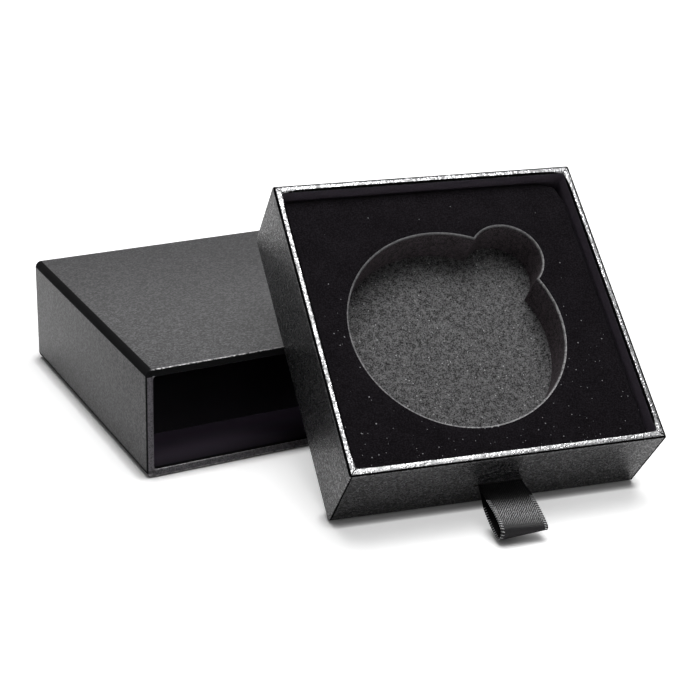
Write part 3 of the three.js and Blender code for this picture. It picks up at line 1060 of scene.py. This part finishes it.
    def lay(self, place: Matrix) -> "Piece":
        """Moves and turns the mesh by a matrix."""
        self.activate()
        self.object.matrix_world = place
        bpy.ops.object.transform_apply(location=True, rotation=True, scale=True)
        return self

    def smooth(self, degrees: float = 35.0) -> "Piece":
        """Shades smooth, with edges sharper than an angle left crisp."""
        self.activate()
        bpy.ops.object.shade_smooth_by_angle(angle=math.radians(degrees))
        return self

    def settle(
        self, body: Body, slot: Slot, replaces: Sequence[str] = (), place: Matrix = LEANING
    ) -> "Piece":
        """Puts the piece in place and on its body.

        Args:
            body: The body that it rides on.
            slot: The record's material slot. Not used.
            replaces: The CAD nodes that it stands for.
            place: The matrix from its own frame to the row frame.

        Returns:
            The piece.
        """
        self.lay(place)
        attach(self.object, body.value)
        if replaces:
            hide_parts(*replaces)
        faces = len(self.object.data.polygons)
        LOG.info("%s: %d faces, on %s", self.object.name, faces, body.value)
        return self


def dress_nodes(pattern: str, names: Sequence[str], finish: Finish) -> None:
    """Gives CAD nodes a finish.

    Args:
        pattern: The nodes' names, with a gap for the part that differs.
        names: What goes into the gap.
        finish: The finish.
    """
    for name in names:
        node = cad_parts[pattern.format(name)]
        if not node.material_slots:
            node.data.materials.append(finish.material())
        for place in node.material_slots:
            place.material = finish.material()
        LOG.info("%s keeps its shape, in %s", node.name, finish.name)


def running(points: Sequence[Vector]) -> list[float]:
    """Returns how far along a line each of its points is."""
    return list(accumulate(((b - a).length for a, b in zip(points, points[1:])), initial=0.0))


def evenly(points: Sequence[Vector], count: int) -> list[Vector]:
    """Spaces points evenly along a line.

    Args:
        points: The line's own points.
        count: How many steps it is divided into.

    Returns:
        count + 1 points.
    """
    lengths = running(points)
    spaced, segment = [], 0
    for step in range(count + 1):
        reach = lengths[-1] * step / count
        while segment < len(points) - 2 and lengths[segment + 1] < reach:
            segment += 1
        share = (reach - lengths[segment]) / (lengths[segment + 1] - lengths[segment])
        spaced.append(points[segment].lerp(points[segment + 1], min(max(share, 0.0), 1.0)))
    return spaced


@dataclass
class MouthWrap:
    """A cover paper whose open side is folded over board and turned in.

    It is made with its mouth towards +Z, from half sizes about its own axis. The turned-in paper is
    snipped away in a wedge at each corner: snip_start is its reach along each wall just below the
    lip, and snip_end its reach at the paper's edge. The shares are parts of the wall, of the side
    radius, of the turn-in and of the lip radius.
    """

    name: str
    half_x: float
    half_y: float
    height: float
    wall: float
    turn_in: float
    side_radius: float
    side_segments: int
    snip_start: float
    snip_end: float
    mitre_width: float
    mitre_depth: float = mm(0.12)
    inner_corner: float = mm(0.9)
    lip_radius: float = STOCK.lip_radius
    lip_segments: int = 5
    foot_segments: int = 4
    corner_share: float = 1.2
    snip_share: float = 0.55
    snip_depth: float = 1.2
    snip_top: float = 2.5
    mitre_share: float = 0.95
    inside_share: float = 0.6
    inside_slack: float = mm(0.45)
    inside_foot: float = mm(0.5)

    def shell(self) -> Piece:
        """Makes the outer walls, with their upright edges rounded and the mouth open.

        Returns:
            The open shell.
        """
        low, high = (-self.half_x, -self.half_y, 0.0), (self.half_x, self.half_y, self.height)
        piece = Piece.block(self.name, low, high).edit()
        piece.faces(lambda c, n: n.z > FACING).remove("FACE")
        return piece.uprights(self.height / 2).bevel(self.side_radius, self.side_segments)

    def foot(self, piece: Piece) -> Piece:
        """Rounds the outline of the closed end."""
        piece.edges_within(lambda p: p.z < HAIR and self.inset(p) < 2 * HAIR)
        return piece.bevel(STOCK.lip_radius, self.foot_segments)

    def fold(self, piece: Piece) -> Piece:
        """Folds the mouth's edge over, turns the paper in and gives it its thickness.

        Args:
            piece: The open shell, in edit mode.

        Returns:
            The same piece, in object mode, with its corners snipped and mitred.
        """
        inner_x, inner_y = self.half_x - self.wall, self.half_y - self.wall
        middle = self.height / 2
        piece.rim(middle).pull((0, 0, 0))
        piece.resize((inner_x / self.half_x, inner_y / self.half_y, 1), (0, 0, self.height))
        factor = self.inner_corner / self.side_radius
        near = self.side_radius * self.corner_share
        for corner, _ in self.corners():
            piece.pick("VERT", lambda v, c=corner: v.is_boundary and (v.co - c).length < near)
            piece.resize((factor, factor, 1), corner)
        piece.rim(middle).pull((0, 0, -self.turn_in))
        for test in (self.on_outer_lip, self.on_inner_lip):
            piece.edges_within(lambda p, t=test: abs(p.z - self.height) < HAIR and t(p))
            piece.bevel(self.lip_radius, self.lip_segments)
        piece.done().thicken(STOCK.paper)
        self.snip(piece)
        self.crease(piece)
        return piece

    def corners(self) -> list[tuple[Vector, Vector]]:
        """Returns the mouth's four inner corners, each with its direction outwards."""
        reach = Vector((self.half_x - self.wall, self.half_y - self.wall, 0.0))
        outs = [Vector((x, y, 0.0)) for x, y in product(SIGNS, SIGNS)]
        return [(Vector((out.x * reach.x, out.y * reach.y, self.height)), out) for out in outs]

    def snip(self, piece: Piece) -> None:
        """Cuts the turned-in paper away in a wedge at each inner corner."""
        back = self.wall * self.snip_share
        for index, (corner, out) in enumerate(self.corners()):
            anchor = corner + out * back
            deep = Vector((0, 0, self.turn_in * self.snip_depth))
            ends = (anchor, anchor - out * (back + self.snip_end) - deep)
            low, high = (Vector([pick(pair) for pair in zip(*ends)]) for pick in (min, max))
            high.z -= self.lip_radius * self.snip_top
            wedge = Piece.block(f"snip_{index}", low, high).edit().faces(lambda c, n: n.z > FACING)
            factor = (back + self.snip_start) / (back + self.snip_end)
            wedge.resize((factor, factor, 1), (anchor.x, anchor.y, high.z)).done()
            piece.carve(wedge)

    def crease(self, piece: Piece) -> None:
        """Presses a mitre line into the mouth's face at each corner."""
        half = Vector((self.wall * self.mitre_share, self.mitre_width / 2, self.mitre_depth))
        for index, (corner, out) in enumerate(self.corners()):
            line = Piece.block(f"mitre_{index}", -half, half)
            turn = Matrix.Rotation(out.x * out.y * QUARTER / 2, 4, "Z")
            line.lay(Matrix.Translation(corner + out * self.wall / 2) @ turn)
            piece.carve(line)

    def on_outer_lip(self, point: Vector) -> bool:
        """Tests whether a point of the mouth's face is on its outer outline."""
        return self.inset(point) < 2 * HAIR

    def on_inner_lip(self, point: Vector) -> bool:
        """Tests whether a point of the mouth's face is on its inner outline."""
        past_x = abs(point.x) - (self.half_x - self.wall)
        past_y = abs(point.y) - (self.half_y - self.wall)
        near, within = mm(0.4), mm(0.1)
        return (abs(past_x) < near and past_y < within) or (abs(past_y) < near and past_x < within)

    def inset(self, point: Vector) -> float:
        """Returns how far a point is inside the rounded outline."""
        reach_x = abs(point.x) - (self.half_x - self.side_radius)
        reach_y = abs(point.y) - (self.half_y - self.side_radius)
        if reach_x > 0 and reach_y > 0:
            return self.side_radius - math.hypot(reach_x, reach_y)
        return self.side_radius - max(reach_x, reach_y)

    def inside(self, centre: Vector, _normal: Vector) -> bool:
        """Tests whether a face is on the turned-in paper, between the lip and the closed end."""
        deep = self.inset(centre) > self.wall - self.inside_slack
        top = self.height - self.lip_radius * self.inside_share
        return deep and self.inside_foot < centre.z < top


@dataclass
class SleeveHalf:
    """The sleeve: cover, lining and boards."""

    sizes: SleeveSizes = SLEEVE

    def cover(self) -> None:
        """Makes the cover paper, standing on its back, and lays it down."""
        wrap = MouthWrap(
            "sleeve_cover",
            half_x=self.sizes.width / 2,
            half_y=self.sizes.wrap_height / 2,
            height=self.sizes.depth - STOCK.stack,
            wall=self.sizes.wall,
            turn_in=self.sizes.turn_in,
            side_radius=self.sizes.fold_radius,
            side_segments=12,
            snip_start=mm(0.6),
            snip_end=mm(3.6),
            mitre_width=mm(0.22),
        )
        piece = wrap.shell()
        piece.faces(lambda c, n: n.z < -FACING).remove("ONLY_FACE")
        piece.edges_within(lambda p: p.z < HAIR).pull((0, 0, 0))
        over = [1 - self.sizes.back_turn_over / half for half in (wrap.half_x, wrap.half_y)]
        piece.resize((*over, 1), (0, 0, 0))
        wrap.fold(wrap.foot(piece))
        piece.paint(SLEEVE_PAPER, (SLEEVE_SHADE, wrap.inside)).smooth()
        back = (0, self.sizes.depth / 2 - STOCK.stack, STOCK.stack + self.sizes.wrap_height / 2)
        laid = Matrix.Translation(back) @ Matrix.Rotation(QUARTER, 4, "X")
        piece.settle(Body.SLEEVE, Slot.WRAP, ["sleeve_wrap"], laid)

    def build(self) -> None:
        """Makes and dresses the sleeve."""
        self.cover()
        dress_nodes("sleeve_{}_board", ("top", "bottom", "left", "right", "back"), GREYBOARD)
        dress_nodes("sleeve_{}", ("lining",), LINING)
        dress_nodes("sleeve_{}", ("back_paper", "base_sheet"), SLEEVE_PAPER)


@dataclass
class Ribbon:
    """The ribbon pull, from the slit in the drawer's front and back into it.

    knots are points of the loop's side view, as shares of reach and half_loop. picot_start and
    pinch_reach are shares of the way out to the loop's tip. Only one side is pinched at the slit.
    """

    width: float = mm(12.7)
    thickness: float = mm(0.26)
    reach: float = mm(17.8)
    half_loop: float = mm(1.9)
    rise: float = math.radians(19.5)
    shift: float = mm(0.6)
    root_gap: float = mm(0.4)
    slit_height: float = mm(10.4)
    slit_opening: float = mm(1.4)
    slit_side_gap: float = mm(0.5)
    tail_gap: float = mm(0.2)
    tail_clearance: float = mm(1.2)
    steps_along: int = 120
    steps_across: int = 26
    fan: float = 0.42
    twist: float = 0.05
    root_pinch: float = 0.12
    picot_pitch: float = mm(0.7)
    picot_length: float = mm(1.05)
    picot_radius: float = mm(0.17)
    picot_start: float = 0.38
    picot_slant: float = 0.35
    picot_inset: float = 0.42
    pinch_reach: float = 0.4
    tail_share: float = 0.9
    tail_level: float = 0.55
    tail_bends: Ramp = (mm(0.5), mm(0.12))
    curve_steps: int = 24
    tail_steps: int = 28
    knots: tuple[Ramp, ...] = (
        (0.0, 0.09),
        (0.14, 0.25),
        (0.36, 0.74),
        (0.6, 0.98),
        (0.8, 0.94),
        (0.94, 0.74),
        (0.985, 0.4),
        (0.985, -0.2),
        (0.95, -0.66),
        (0.8, -0.9),
        (0.56, -0.92),
        (0.34, -0.68),
        (0.14, -0.25),
        (0.0, -0.09),
    )

    def side_view(self) -> list[Vector]:
        """Draws the loop's side view, outwards and upwards from the slit.

        Returns:
            Evenly spaced points from the upper end round the tip to the lower end.
        """
        scale = (self.reach, self.half_loop)
        knots = [Vector((out * scale[0] + self.root_gap, up * scale[1])) for out, up in self.knots]
        ends = [knots[0] * 2 - knots[1], *knots, knots[-1] * 2 - knots[-2]]
        dense = []
        for a, b, c, d in zip(ends, ends[1:], ends[2:], ends[3:]):
            for step in range(self.curve_steps):
                t = step / self.curve_steps
                square = (2 * a - 5 * b + 4 * c - d) * t**2
                cube = (3 * b - a - 3 * c + d) * t**3
                dense.append((2 * b + (c - a) * t + square + cube) / 2)
        dense.append(knots[-1])
        return evenly(dense, self.steps_along)

    def to_drawer(self, out: float, up: float) -> tuple[float, float]:
        """Turns a point of the side view into the drawer's y and z."""
        y = -(out * math.cos(self.rise) - up * math.sin(self.rise))
        z = out * math.sin(self.rise) + up * math.cos(self.rise)
        return y - DRAWER.depth / 2, z + self.slit_height

    def strip(self, name: str, line: Sequence[Vector]) -> Piece:
        """Makes a flat strip and lays it along a line in the drawer's y and z.

        Args:
            name: The piece's name.
            line: The line's points, as (y, z).

        Returns:
            The strip, whose UV map is in metres.
        """
        last = len(line) - 1
        bpy.ops.mesh.primitive_grid_add(
            x_subdivisions=self.steps_across, y_subdivisions=last, size=1, calc_uvs=True
        )
        piece = Piece(name)
        mesh = piece.object.data
        lengths = running(line)
        for loop, uv in zip(mesh.loops, mesh.uv_layers.active.data):
            place = mesh.vertices[loop.vertex_index].co
            uv.uv = (place.x * self.width, lengths[round((place.y + 0.5) * last)])
        for vert in mesh.vertices:
            vert.co = self.hung(vert.co.x * self.width, line[round((vert.co.y + 0.5) * last)])
        mesh.update()
        return piece

    def hung(self, across: float, point: Vector) -> Vector:
        """Places a point of the ribbon, which twists a little and is gathered at the slit.

        Args:
            across: The point's distance from the ribbon's middle line.
            point: The line's y and z there.

        Returns:
            The place in the drawer's frame.
        """
        cos, sin = math.cos(self.rise), math.sin(self.rise)
        y, z = point.x + DRAWER.depth / 2, point.y - self.slit_height
        share = min(max(-y / (self.reach * cos), 0.0), 1.0)
        pinch = self.root_pinch * max(0.0, 1.0 - share / self.pinch_reach) if across < 0 else 0.0
        gathered = across * (1.0 - pinch)
        out = z * sin - y * cos
        up = y * sin + z * cos
        up *= 1.0 - self.fan * share * across * 2 / self.width
        y, z = self.to_drawer(out, up + self.twist * across * share)
        return Vector((self.shift + gathered, y, z))

    def picots(self, line: Sequence[Vector]) -> Piece:
        """Sews the threads that bind both long edges of the loop.

        Args:
            line: The loop's line, as (y, z).

        Returns:
            All the threads, joined.
        """
        count = int(running(line)[-1] / self.picot_pitch)
        places = evenly(line, count)
        first = Piece.drum("ribbon_selvedges", self.picot_radius, self.picot_length, sides=6).edit()
        first.edges(lambda a, b: abs(a.z - b.z) < HAIR).bevel(self.picot_radius / 2, 1).done()
        start = -DRAWER.depth / 2 - self.reach * math.cos(self.rise) * self.picot_start
        sewn = [index for index in range(1, count) if places[index].x <= start]
        copies = []
        for index, side in product(sewn, SIGNS):
            copy = link(first.object.name, first.object.data.copy())
            along = (places[index + 1] - places[index - 1]).normalized()
            out, tangent = Vector((side, 0, 0)), Vector((0, *along))
            normal = out.cross(tangent)
            across = (out + tangent * self.picot_slant * side).normalized()
            basis = Matrix((normal, across.cross(normal), across)).transposed().to_4x4()
            reach = self.width / 2 - self.picot_length * self.picot_inset
            basis.translation = self.hung(side * reach, places[index])
            copy.data.transform(basis)
            copies.append(copy)
        first.object.data.clear_geometry()
        first.join(copies)
        return first

    def build(self) -> None:
        """Makes the loop, its selvedges and the glued ends."""
        line = [Vector(self.to_drawer(p.x, p.y)) for p in self.side_view()]
        band = self.strip("ribbon_band", line)
        band.modify("SOLIDIFY", thickness=self.thickness, offset=0)
        band.paint(SATIN).smooth(degrees=50).settle(Body.RIBBON, Slot.SATIN, ["ribbon_loop"])
        threads = self.picots(line)
        threads.paint(THREAD).smooth(degrees=60).settle(Body.RIBBON, Slot.SATIN)
        running(line)[-1]
        self.ends()

    def ends(self) -> None:
        """Makes the two ends, glued up and down the inside of the front wall behind the slit."""
        outside = self.tail_gap - DRAWER.depth / 2
        face = DRAWER.wall - STOCK.paper - (STOCK.glue - self.thickness) / 2 - DRAWER.depth / 2
        top = DRAWER.height - DRAWER.turn_in - self.tail_clearance
        foot = DRAWER.floor_top + self.tail_clearance
        far, near = self.tail_bends
        strips, total = [], 0.0
        for name, end, side in (("ribbon_ends", top, 1), ("ribbon_end_lower", foot, -1)):
            level = self.slit_height + side * self.thickness * self.tail_level
            bend = [(outside, level), (face - far, level), (face - near, level + side * near)]
            bend += [(face, level + side * far), (face, end)]
            line = evenly([Vector(point) for point in bend], self.tail_steps)
            strip = self.strip(name, line)
            thickness = self.thickness * self.tail_share
            strips.append(strip.modify("SOLIDIFY", thickness=thickness, offset=0))
            total += running(line)[-1]
        both = strips[0]
        both.join([strips[1].object])
        both.paint(SATIN).smooth(degrees=50).settle(Body.TRAY, Slot.SATIN, ["ribbon_tails"])


@dataclass
class Foams:
    """The two foam layers and the flocked skin, in the drawer's frame.

    nick is how far the back right corner is pressed in, and nick_reach how far from it that shows.
    """

    corner_radius: float = mm(1.6)
    corner_segments: int = 6
    base_segments: int = 4
    edge_radius: float = mm(0.6)
    edge_segments: int = 5
    flock: float = mm(0.35)
    skirt: float = mm(2.4)
    recess_radius: float = mm(29.2)
    recess_x: float = mm(-2.3)
    recess_y: float = mm(-2.9)
    notch_radius: float = mm(9.9)
    notch_reach: float = mm(28.4)
    notch_turn: float = math.pi / 4
    side_cuts: int = 40
    waver: float = mm(0.25)
    waver_size: float = mm(5)
    waver_place: tuple[float, float, float] = (3.1, 7.7, 0.0)
    waver_start: float = 0.9
    nick: float = mm(2.2)
    nick_reach: float = mm(9)
    cut_roll: float = mm(0.5)
    cut_segments: int = 3
    die_overlap: float = mm(1)
    voxel: float = mm(0.9)
    pore_size: float = mm(1.1)
    pore_depth: float = mm(0.16)
    pore_reach: float = mm(0.4)
    fill: float = 0.9

    @property
    def half(self) -> float:
        """Returns half the foam's width."""
        return DRAWER.width / 2 - DRAWER.wall - DRAWER.foam_clearance

    @property
    def top(self) -> float:
        """Returns the level of the flocked face."""
        return DRAWER.height - DRAWER.foam_drop

    @property
    def base_top(self) -> float:
        """Returns the level of the recess's floor."""
        return DRAWER.floor_top + STOCK.glue + DRAWER.foam_base

    def slab(self, name: str, inset: float, low: float, high: float, radius: float) -> Piece:
        """Makes a foam slab whose corners and top edge are rounded and whose sides waver a little.

        Args:
            name: The piece's name.
            inset: How far its sides are inside the foam's outline.
            low: Its lowest level.
            high: Its highest level.
            radius: The top edge's radius.

        Returns:
            The slab, closed all round.
        """
        half = self.half - inset
        piece = Piece.block(name, (-half, -half, low), (half, half, high)).edit()
        piece.uprights((high - low) / 2).bevel(self.corner_radius, self.corner_segments)
        piece.edges(lambda a, b: abs(a.z - b.z) < HAIR and (a - b).length > half)
        bpy.ops.mesh.subdivide(number_cuts=self.side_cuts)
        piece.edges_within(lambda p: p.z > high - HAIR and self.on_outline(p, inset))
        piece.bevel(radius, self.edge_segments).done()
        start = half * self.waver_start
        for vert in piece.object.data.vertices:
            if self.on_outline(vert.co, inset + radius):
                place = Vector((vert.co.x, vert.co.y, 0.0)) / self.waver_size
                waver = self.waver * (0.5 + noise.noise(place + Vector(self.waver_place)))
                for axis in range(2):
                    if abs(vert.co[axis]) > start:
                        vert.co[axis] -= math.copysign(waver, vert.co[axis])
        for vert in piece.object.data.vertices:
            distance = math.hypot(vert.co.x - half, vert.co.y - half)
            near = max(0.0, 1.0 - distance / self.nick_reach)
            inwards = Vector((1.0, 1.0, 0.0)).normalized()
            vert.co -= inwards * self.nick * near * near * (3.0 - 2.0 * near)
        piece.object.data.update()
        return piece

    def on_outline(self, point: Vector, inset: float) -> bool:
        """Tests whether a point is within a hair of the slab's outline, or outside it."""
        half = self.half - inset - 2 * HAIR
        reach_x = abs(point.x) - half + self.corner_radius
        reach_y = abs(point.y) - half + self.corner_radius
        both = reach_x > 0 and reach_y > 0
        reach = math.hypot(reach_x, reach_y) if both else max(reach_x, reach_y)
        return reach > self.corner_radius - HAIR

    def rounds(self) -> tuple[tuple[str, float, float, float, int], ...]:
        """Returns the name, centre, radius and sides of the recess and of its thumb notch."""
        notch_x = self.recess_x + self.notch_reach * math.cos(self.notch_turn)
        notch_y = self.recess_y + self.notch_reach * math.sin(self.notch_turn)
        main = ("die_main", self.recess_x, self.recess_y, self.recess_radius, 192)
        return main, ("die_thumb", notch_x, notch_y, self.notch_radius, 96)

    def stamp(self, piece: Piece, low: float, high: float) -> Piece:
        """Cuts the recess and its notch out of a slab.

        Args:
            piece: The slab.
            low: Its lowest level.
            high: Its highest level.

        Returns:
            The slab.
        """
        depth = high - low + 2 * self.die_overlap
        dies = [
            Piece.drum(name, radius, depth, sides, (x, y, (low + high) / 2))
            for name, x, y, radius, sides in self.rounds()
        ]
        return piece.carve(*dies)

    def in_recess(self, point: Vector, margin: float) -> bool:
        """Tests whether a point is within the recess's outline, seen from above."""
        return any(
            math.hypot(point.x - x, point.y - y) < radius + margin
            for _, x, y, radius, _ in self.rounds()
        )

    def build(self) -> None:
        """Makes the base, the cut insert and its flocked skin."""
        self.base()
        self.insert()
        self.skin()

    def base(self) -> None:
        """Makes the lower foam, with its open pores."""
        low, high = DRAWER.floor_top + STOCK.glue, self.base_top
        half = self.half
        piece = Piece.block("foam_floor", (-half, -half, low), (half, half, high)).edit()
        piece.uprights((high - low) / 2).bevel(self.corner_radius, self.base_segments).done()
        piece.modify("REMESH", mode="VOXEL", voxel_size=self.voxel)
        piece.ruffle(self.pore_size, self.pore_depth, lambda p: p.z > high - self.pore_reach)
        piece.paint(SPONGE).smooth(degrees=60).settle(Body.TRAY, Slot.FOAM, ["foam_base"])

    def insert(self) -> None:
        """Makes the die-cut upper foam."""
        inset = self.flock + STOCK.glue
        low, high = self.base_top + DRAWER.seat_gap, self.top - inset
        piece = self.slab("foam_cut_insert", inset, low, high, self.edge_radius)
        self.stamp(piece, low, high).paint(WALL_SPONGE).smooth(degrees=40)
        piece.settle(Body.INSERT, Slot.FOAM, ["foam_insert"])

    def skin(self) -> None:
        """Makes the flocked face, rolled down over the insert's edges."""
        low, high = self.top - self.skirt, self.top
        hair, wall, cut = 5 * HAIR, 10 * HAIR, high - self.cut_roll
        piece = self.slab("flock_skin", 0.0, low, high, self.edge_radius + self.flock)
        self.stamp(piece, low, high).edit()
        piece.edges_within(lambda p: p.z > high - hair and self.in_recess(p, hair))
        piece.bevel(self.cut_roll, self.cut_segments)
        piece.faces(lambda c, n: n.z < -FACING or (c.z < cut and self.in_recess(c, wall)))
        piece.remove("FACE").done().thicken(self.flock)
        level = 0.99
        rolled = (CUT_EDGE, lambda c, n: abs(n.z) < level and self.in_recess(c, self.cut_roll))
        piece.paint(FLOCK, rolled).smooth()
        piece.settle(Body.INSERT, Slot.FLOCK, ["insert_flock"])


@dataclass
class DrawerHalf:
    """The drawer: cover, boards and stays."""

    ribbon: Ribbon = field(default_factory=Ribbon)
    foams: Foams = field(default_factory=Foams)
    lip_radius: float = mm(0.7)
    seam_inset: float = mm(0.45)
    seam_width: float = mm(0.2)
    seam_depth: float = mm(0.09)
    overlap: float = mm(1)

    def seams(self, piece: Piece) -> None:
        """Presses in the upright lines where the front and back flaps end over the side flaps.

        Args:
            piece: The cover, with its thickness.
        """
        half = Vector((self.seam_width / 2, self.seam_depth))
        for side, end in product(SIGNS, SIGNS):
            x = side * (DRAWER.width / 2 - self.seam_inset)
            y = end * DRAWER.depth / 2
            low = (x - half.x, y - half.y, -self.overlap)
            high = (x + half.x, y + half.y, DRAWER.height - self.lip_radius)
            piece.carve(Piece.block(f"seam_{side}_{end}", low, high))

    def cover(self) -> None:
        """Makes the drawer's cover paper, with the slit for the ribbon."""
        wrap = MouthWrap(
            "drawer_cover",
            half_x=DRAWER.width / 2,
            half_y=DRAWER.depth / 2,
            height=DRAWER.height,
            wall=DRAWER.wall,
            turn_in=DRAWER.turn_in,
            side_radius=DRAWER.corner_radius,
            side_segments=4,
            snip_start=mm(0.12),
            snip_end=mm(0.3),
            mitre_width=mm(0.18),
            lip_radius=self.lip_radius,
        )
        piece = wrap.fold(wrap.foot(wrap.shell()))
        self.seams(piece)
        half_x = self.ribbon.width / 2 + self.ribbon.slit_side_gap
        half = Vector((half_x, self.overlap, self.ribbon.slit_opening / 2))
        middle = Vector((self.ribbon.shift, -DRAWER.depth / 2, self.ribbon.slit_height))
        piece.carve(Piece.block("slit", middle - half, middle + half))
        piece.paint(DRAWER_PAPER, (DRAWER_SHADE, wrap.inside)).smooth()
        piece.settle(Body.TRAY, Slot.WRAP, ["tray_wrap"])

    def build(self) -> None:
        """Makes and dresses the drawer."""
        self.cover()
        dress_nodes("tray_{}_board", ("floor", "front", "back", "left", "right"), GREYBOARD)
        corners = ("front_left", "front_right", "back_left", "back_right")
        dress_nodes("corner_stay_{}", corners, TAPE)
        self.foams.build()
        self.ribbon.build()


def link(name: str, data: bpy.types.ID) -> bpy.types.Object:
    """Adds an object for a mesh, lamp or camera."""
    holder = bpy.data.objects.new(name, data)
    bpy.context.scene.collection.objects.link(holder)
    return holder


@dataclass
class Softbox:
    """A rectangular area light that faces a point."""

    name: str
    direction: tuple[float, float, float]
    distance: float
    width: float
    height: float
    radiance: float
    reflected_only: bool = False

    def hang(self, target: Vector) -> None:
        """Puts the light up.

        Args:
            target: The point that it faces.
        """
        lamp = bpy.data.lights.new(self.name, "AREA")
        lamp.shape = "RECTANGLE"
        lamp.size, lamp.size_y = self.width, self.height
        lamp.energy = self.radiance * math.pi * self.width * self.height
        holder = link(self.name, lamp)
        away = Vector(self.direction).normalized()
        holder.location = target + away * self.distance
        holder.rotation_euler = away.to_track_quat("Z", "Y").to_euler()
        holder.visible_camera = False
        holder.visible_diffuse = not self.reflected_only


@dataclass
class Studio:
    """The floor, the lights, the background and the camera.

    The floor glows by floor_glow, and by far_glow more past glow_reach. contact_reach is how near a
    thing has to be to darken it, by contact_power. Mirrors see the glow by floor_mirrored.
    """

    target: Vector = field(default_factory=lambda: Vector((0.02, -0.02, 0.02)))
    floor_reach: float = 3.0
    floor_colour: Colour = (0.85, 0.85, 0.85)
    floor_glow: float = 0.53
    far_glow: float = 0.6
    glow_reach: Ramp = (0.1, 0.42)
    contact_reach: float = mm(3.5)
    contact_power: float = 3.0
    floor_mirrored: float = 0.16
    camera_place: tuple[float, float, float] = (-0.191696, -0.41782, 0.208321)
    camera_turn: tuple[float, float, float] = (66.931, -1.8902, -28.0631)
    lens: float = 87.1719
    softboxes: tuple[Softbox, ...] = (
        Softbox("key_overhead", (0.06, -0.07, 1.0), 0.95, 0.7, 0.7, 5.5),
        Softbox("rim_glint", (0.25, -0.19, 0.95), 0.95, 0.26, 0.26, 19.0, reflected_only=True),
        Softbox("back_panel", (0.44, 0.78, 0.6), 0.95, 0.9, 0.48, 1.12, reflected_only=True),
        Softbox("front_fill", (0.05, -0.93, 0.35), 1.1, 0.7, 0.4, 2.4, reflected_only=True),
    )
    dome: Colour = (0.12, 0.12, 0.12)
    room: Colour = (0.1, 0.1, 0.105)
    horizon: Ramp = (0.02, 0.13)

    def floor(self) -> None:
        """Lays the floor, which the camera sees as white where no shadow falls."""
        bpy.ops.mesh.primitive_plane_add(size=2 * self.floor_reach)
        plane = Piece("studio_floor")
        material = bpy.data.materials.new(plane.object.name)
        material.use_nodes = True
        graph = Graph(material.node_tree)
        lit = graph.add("ShaderNodeBsdfDiffuse", {0: self.floor_colour})
        camera, mirrored = graph.sight()
        seen = camera + mirrored * self.floor_mirrored
        x, y, _ = graph.split(graph.coordinates())
        away = ((x * x + y * y) ** 0.5).rise(*self.glow_reach)
        near = {"Distance": self.contact_reach}
        clear = graph.add("ShaderNodeAmbientOcclusion", near, output=1) ** self.contact_power
        strength = (away * self.far_glow + self.floor_glow) * clear * seen
        glow = graph.add("ShaderNodeEmission", {0: WHITE, 1: strength})
        both = graph.add("ShaderNodeAddShader", {0: lit, 1: glow})
        graph.add("ShaderNodeOutputMaterial", {0: both})
        plane.object.data.materials.append(material)

    def sky(self) -> None:
        """Makes the background white for the camera, and for all else a dim room."""
        world = bpy.data.worlds.new("studio")
        world.use_nodes = True
        bpy.context.scene.world = world
        graph = Graph(world.node_tree)
        _, _, up = graph.split(graph.add("ShaderNodeTexCoord", output=0))
        camera, mirrored = graph.sight()
        backdrop = graph.mix(up.rise(*self.horizon), WHITE, self.room)
        dim = graph.mix(mirrored.clamp(), self.dome, backdrop)
        shade, white = (
            graph.add("ShaderNodeBackground", {0: colour, 1: 1.0}) for colour in (dim, WHITE)
        )
        mixed = graph.add("ShaderNodeMixShader", {0: camera, 1: shade, 2: white})
        graph.add("ShaderNodeOutputWorld", {0: mixed})

    def camera(self) -> None:
        """Puts the camera where the photograph was taken from."""
        lens = bpy.data.cameras.new("camera")
        lens.lens = self.lens
        lens.sensor_width = 36.0
        lens.clip_start, lens.clip_end = 0.01, 20.0
        holder = link("camera", lens)
        holder.location = self.camera_place
        holder.rotation_euler = [math.radians(angle) for angle in self.camera_turn]
        bpy.context.scene.camera = holder

    def build(self) -> None:
        """Sets up the whole studio."""
        self.floor()
        self.sky()
        for softbox in self.softboxes:
            softbox.hang(self.target)
        self.camera()
        bpy.context.scene.view_settings.view_transform = "Standard"


def main() -> None:
    """Builds the box and the studio."""
    logging.basicConfig(level=logging.INFO, format="%(message)s")
    Studio().build()
    SleeveHalf().build()
    DrawerHalf().build()
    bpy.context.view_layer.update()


if __name__ == "__main__":
    main()
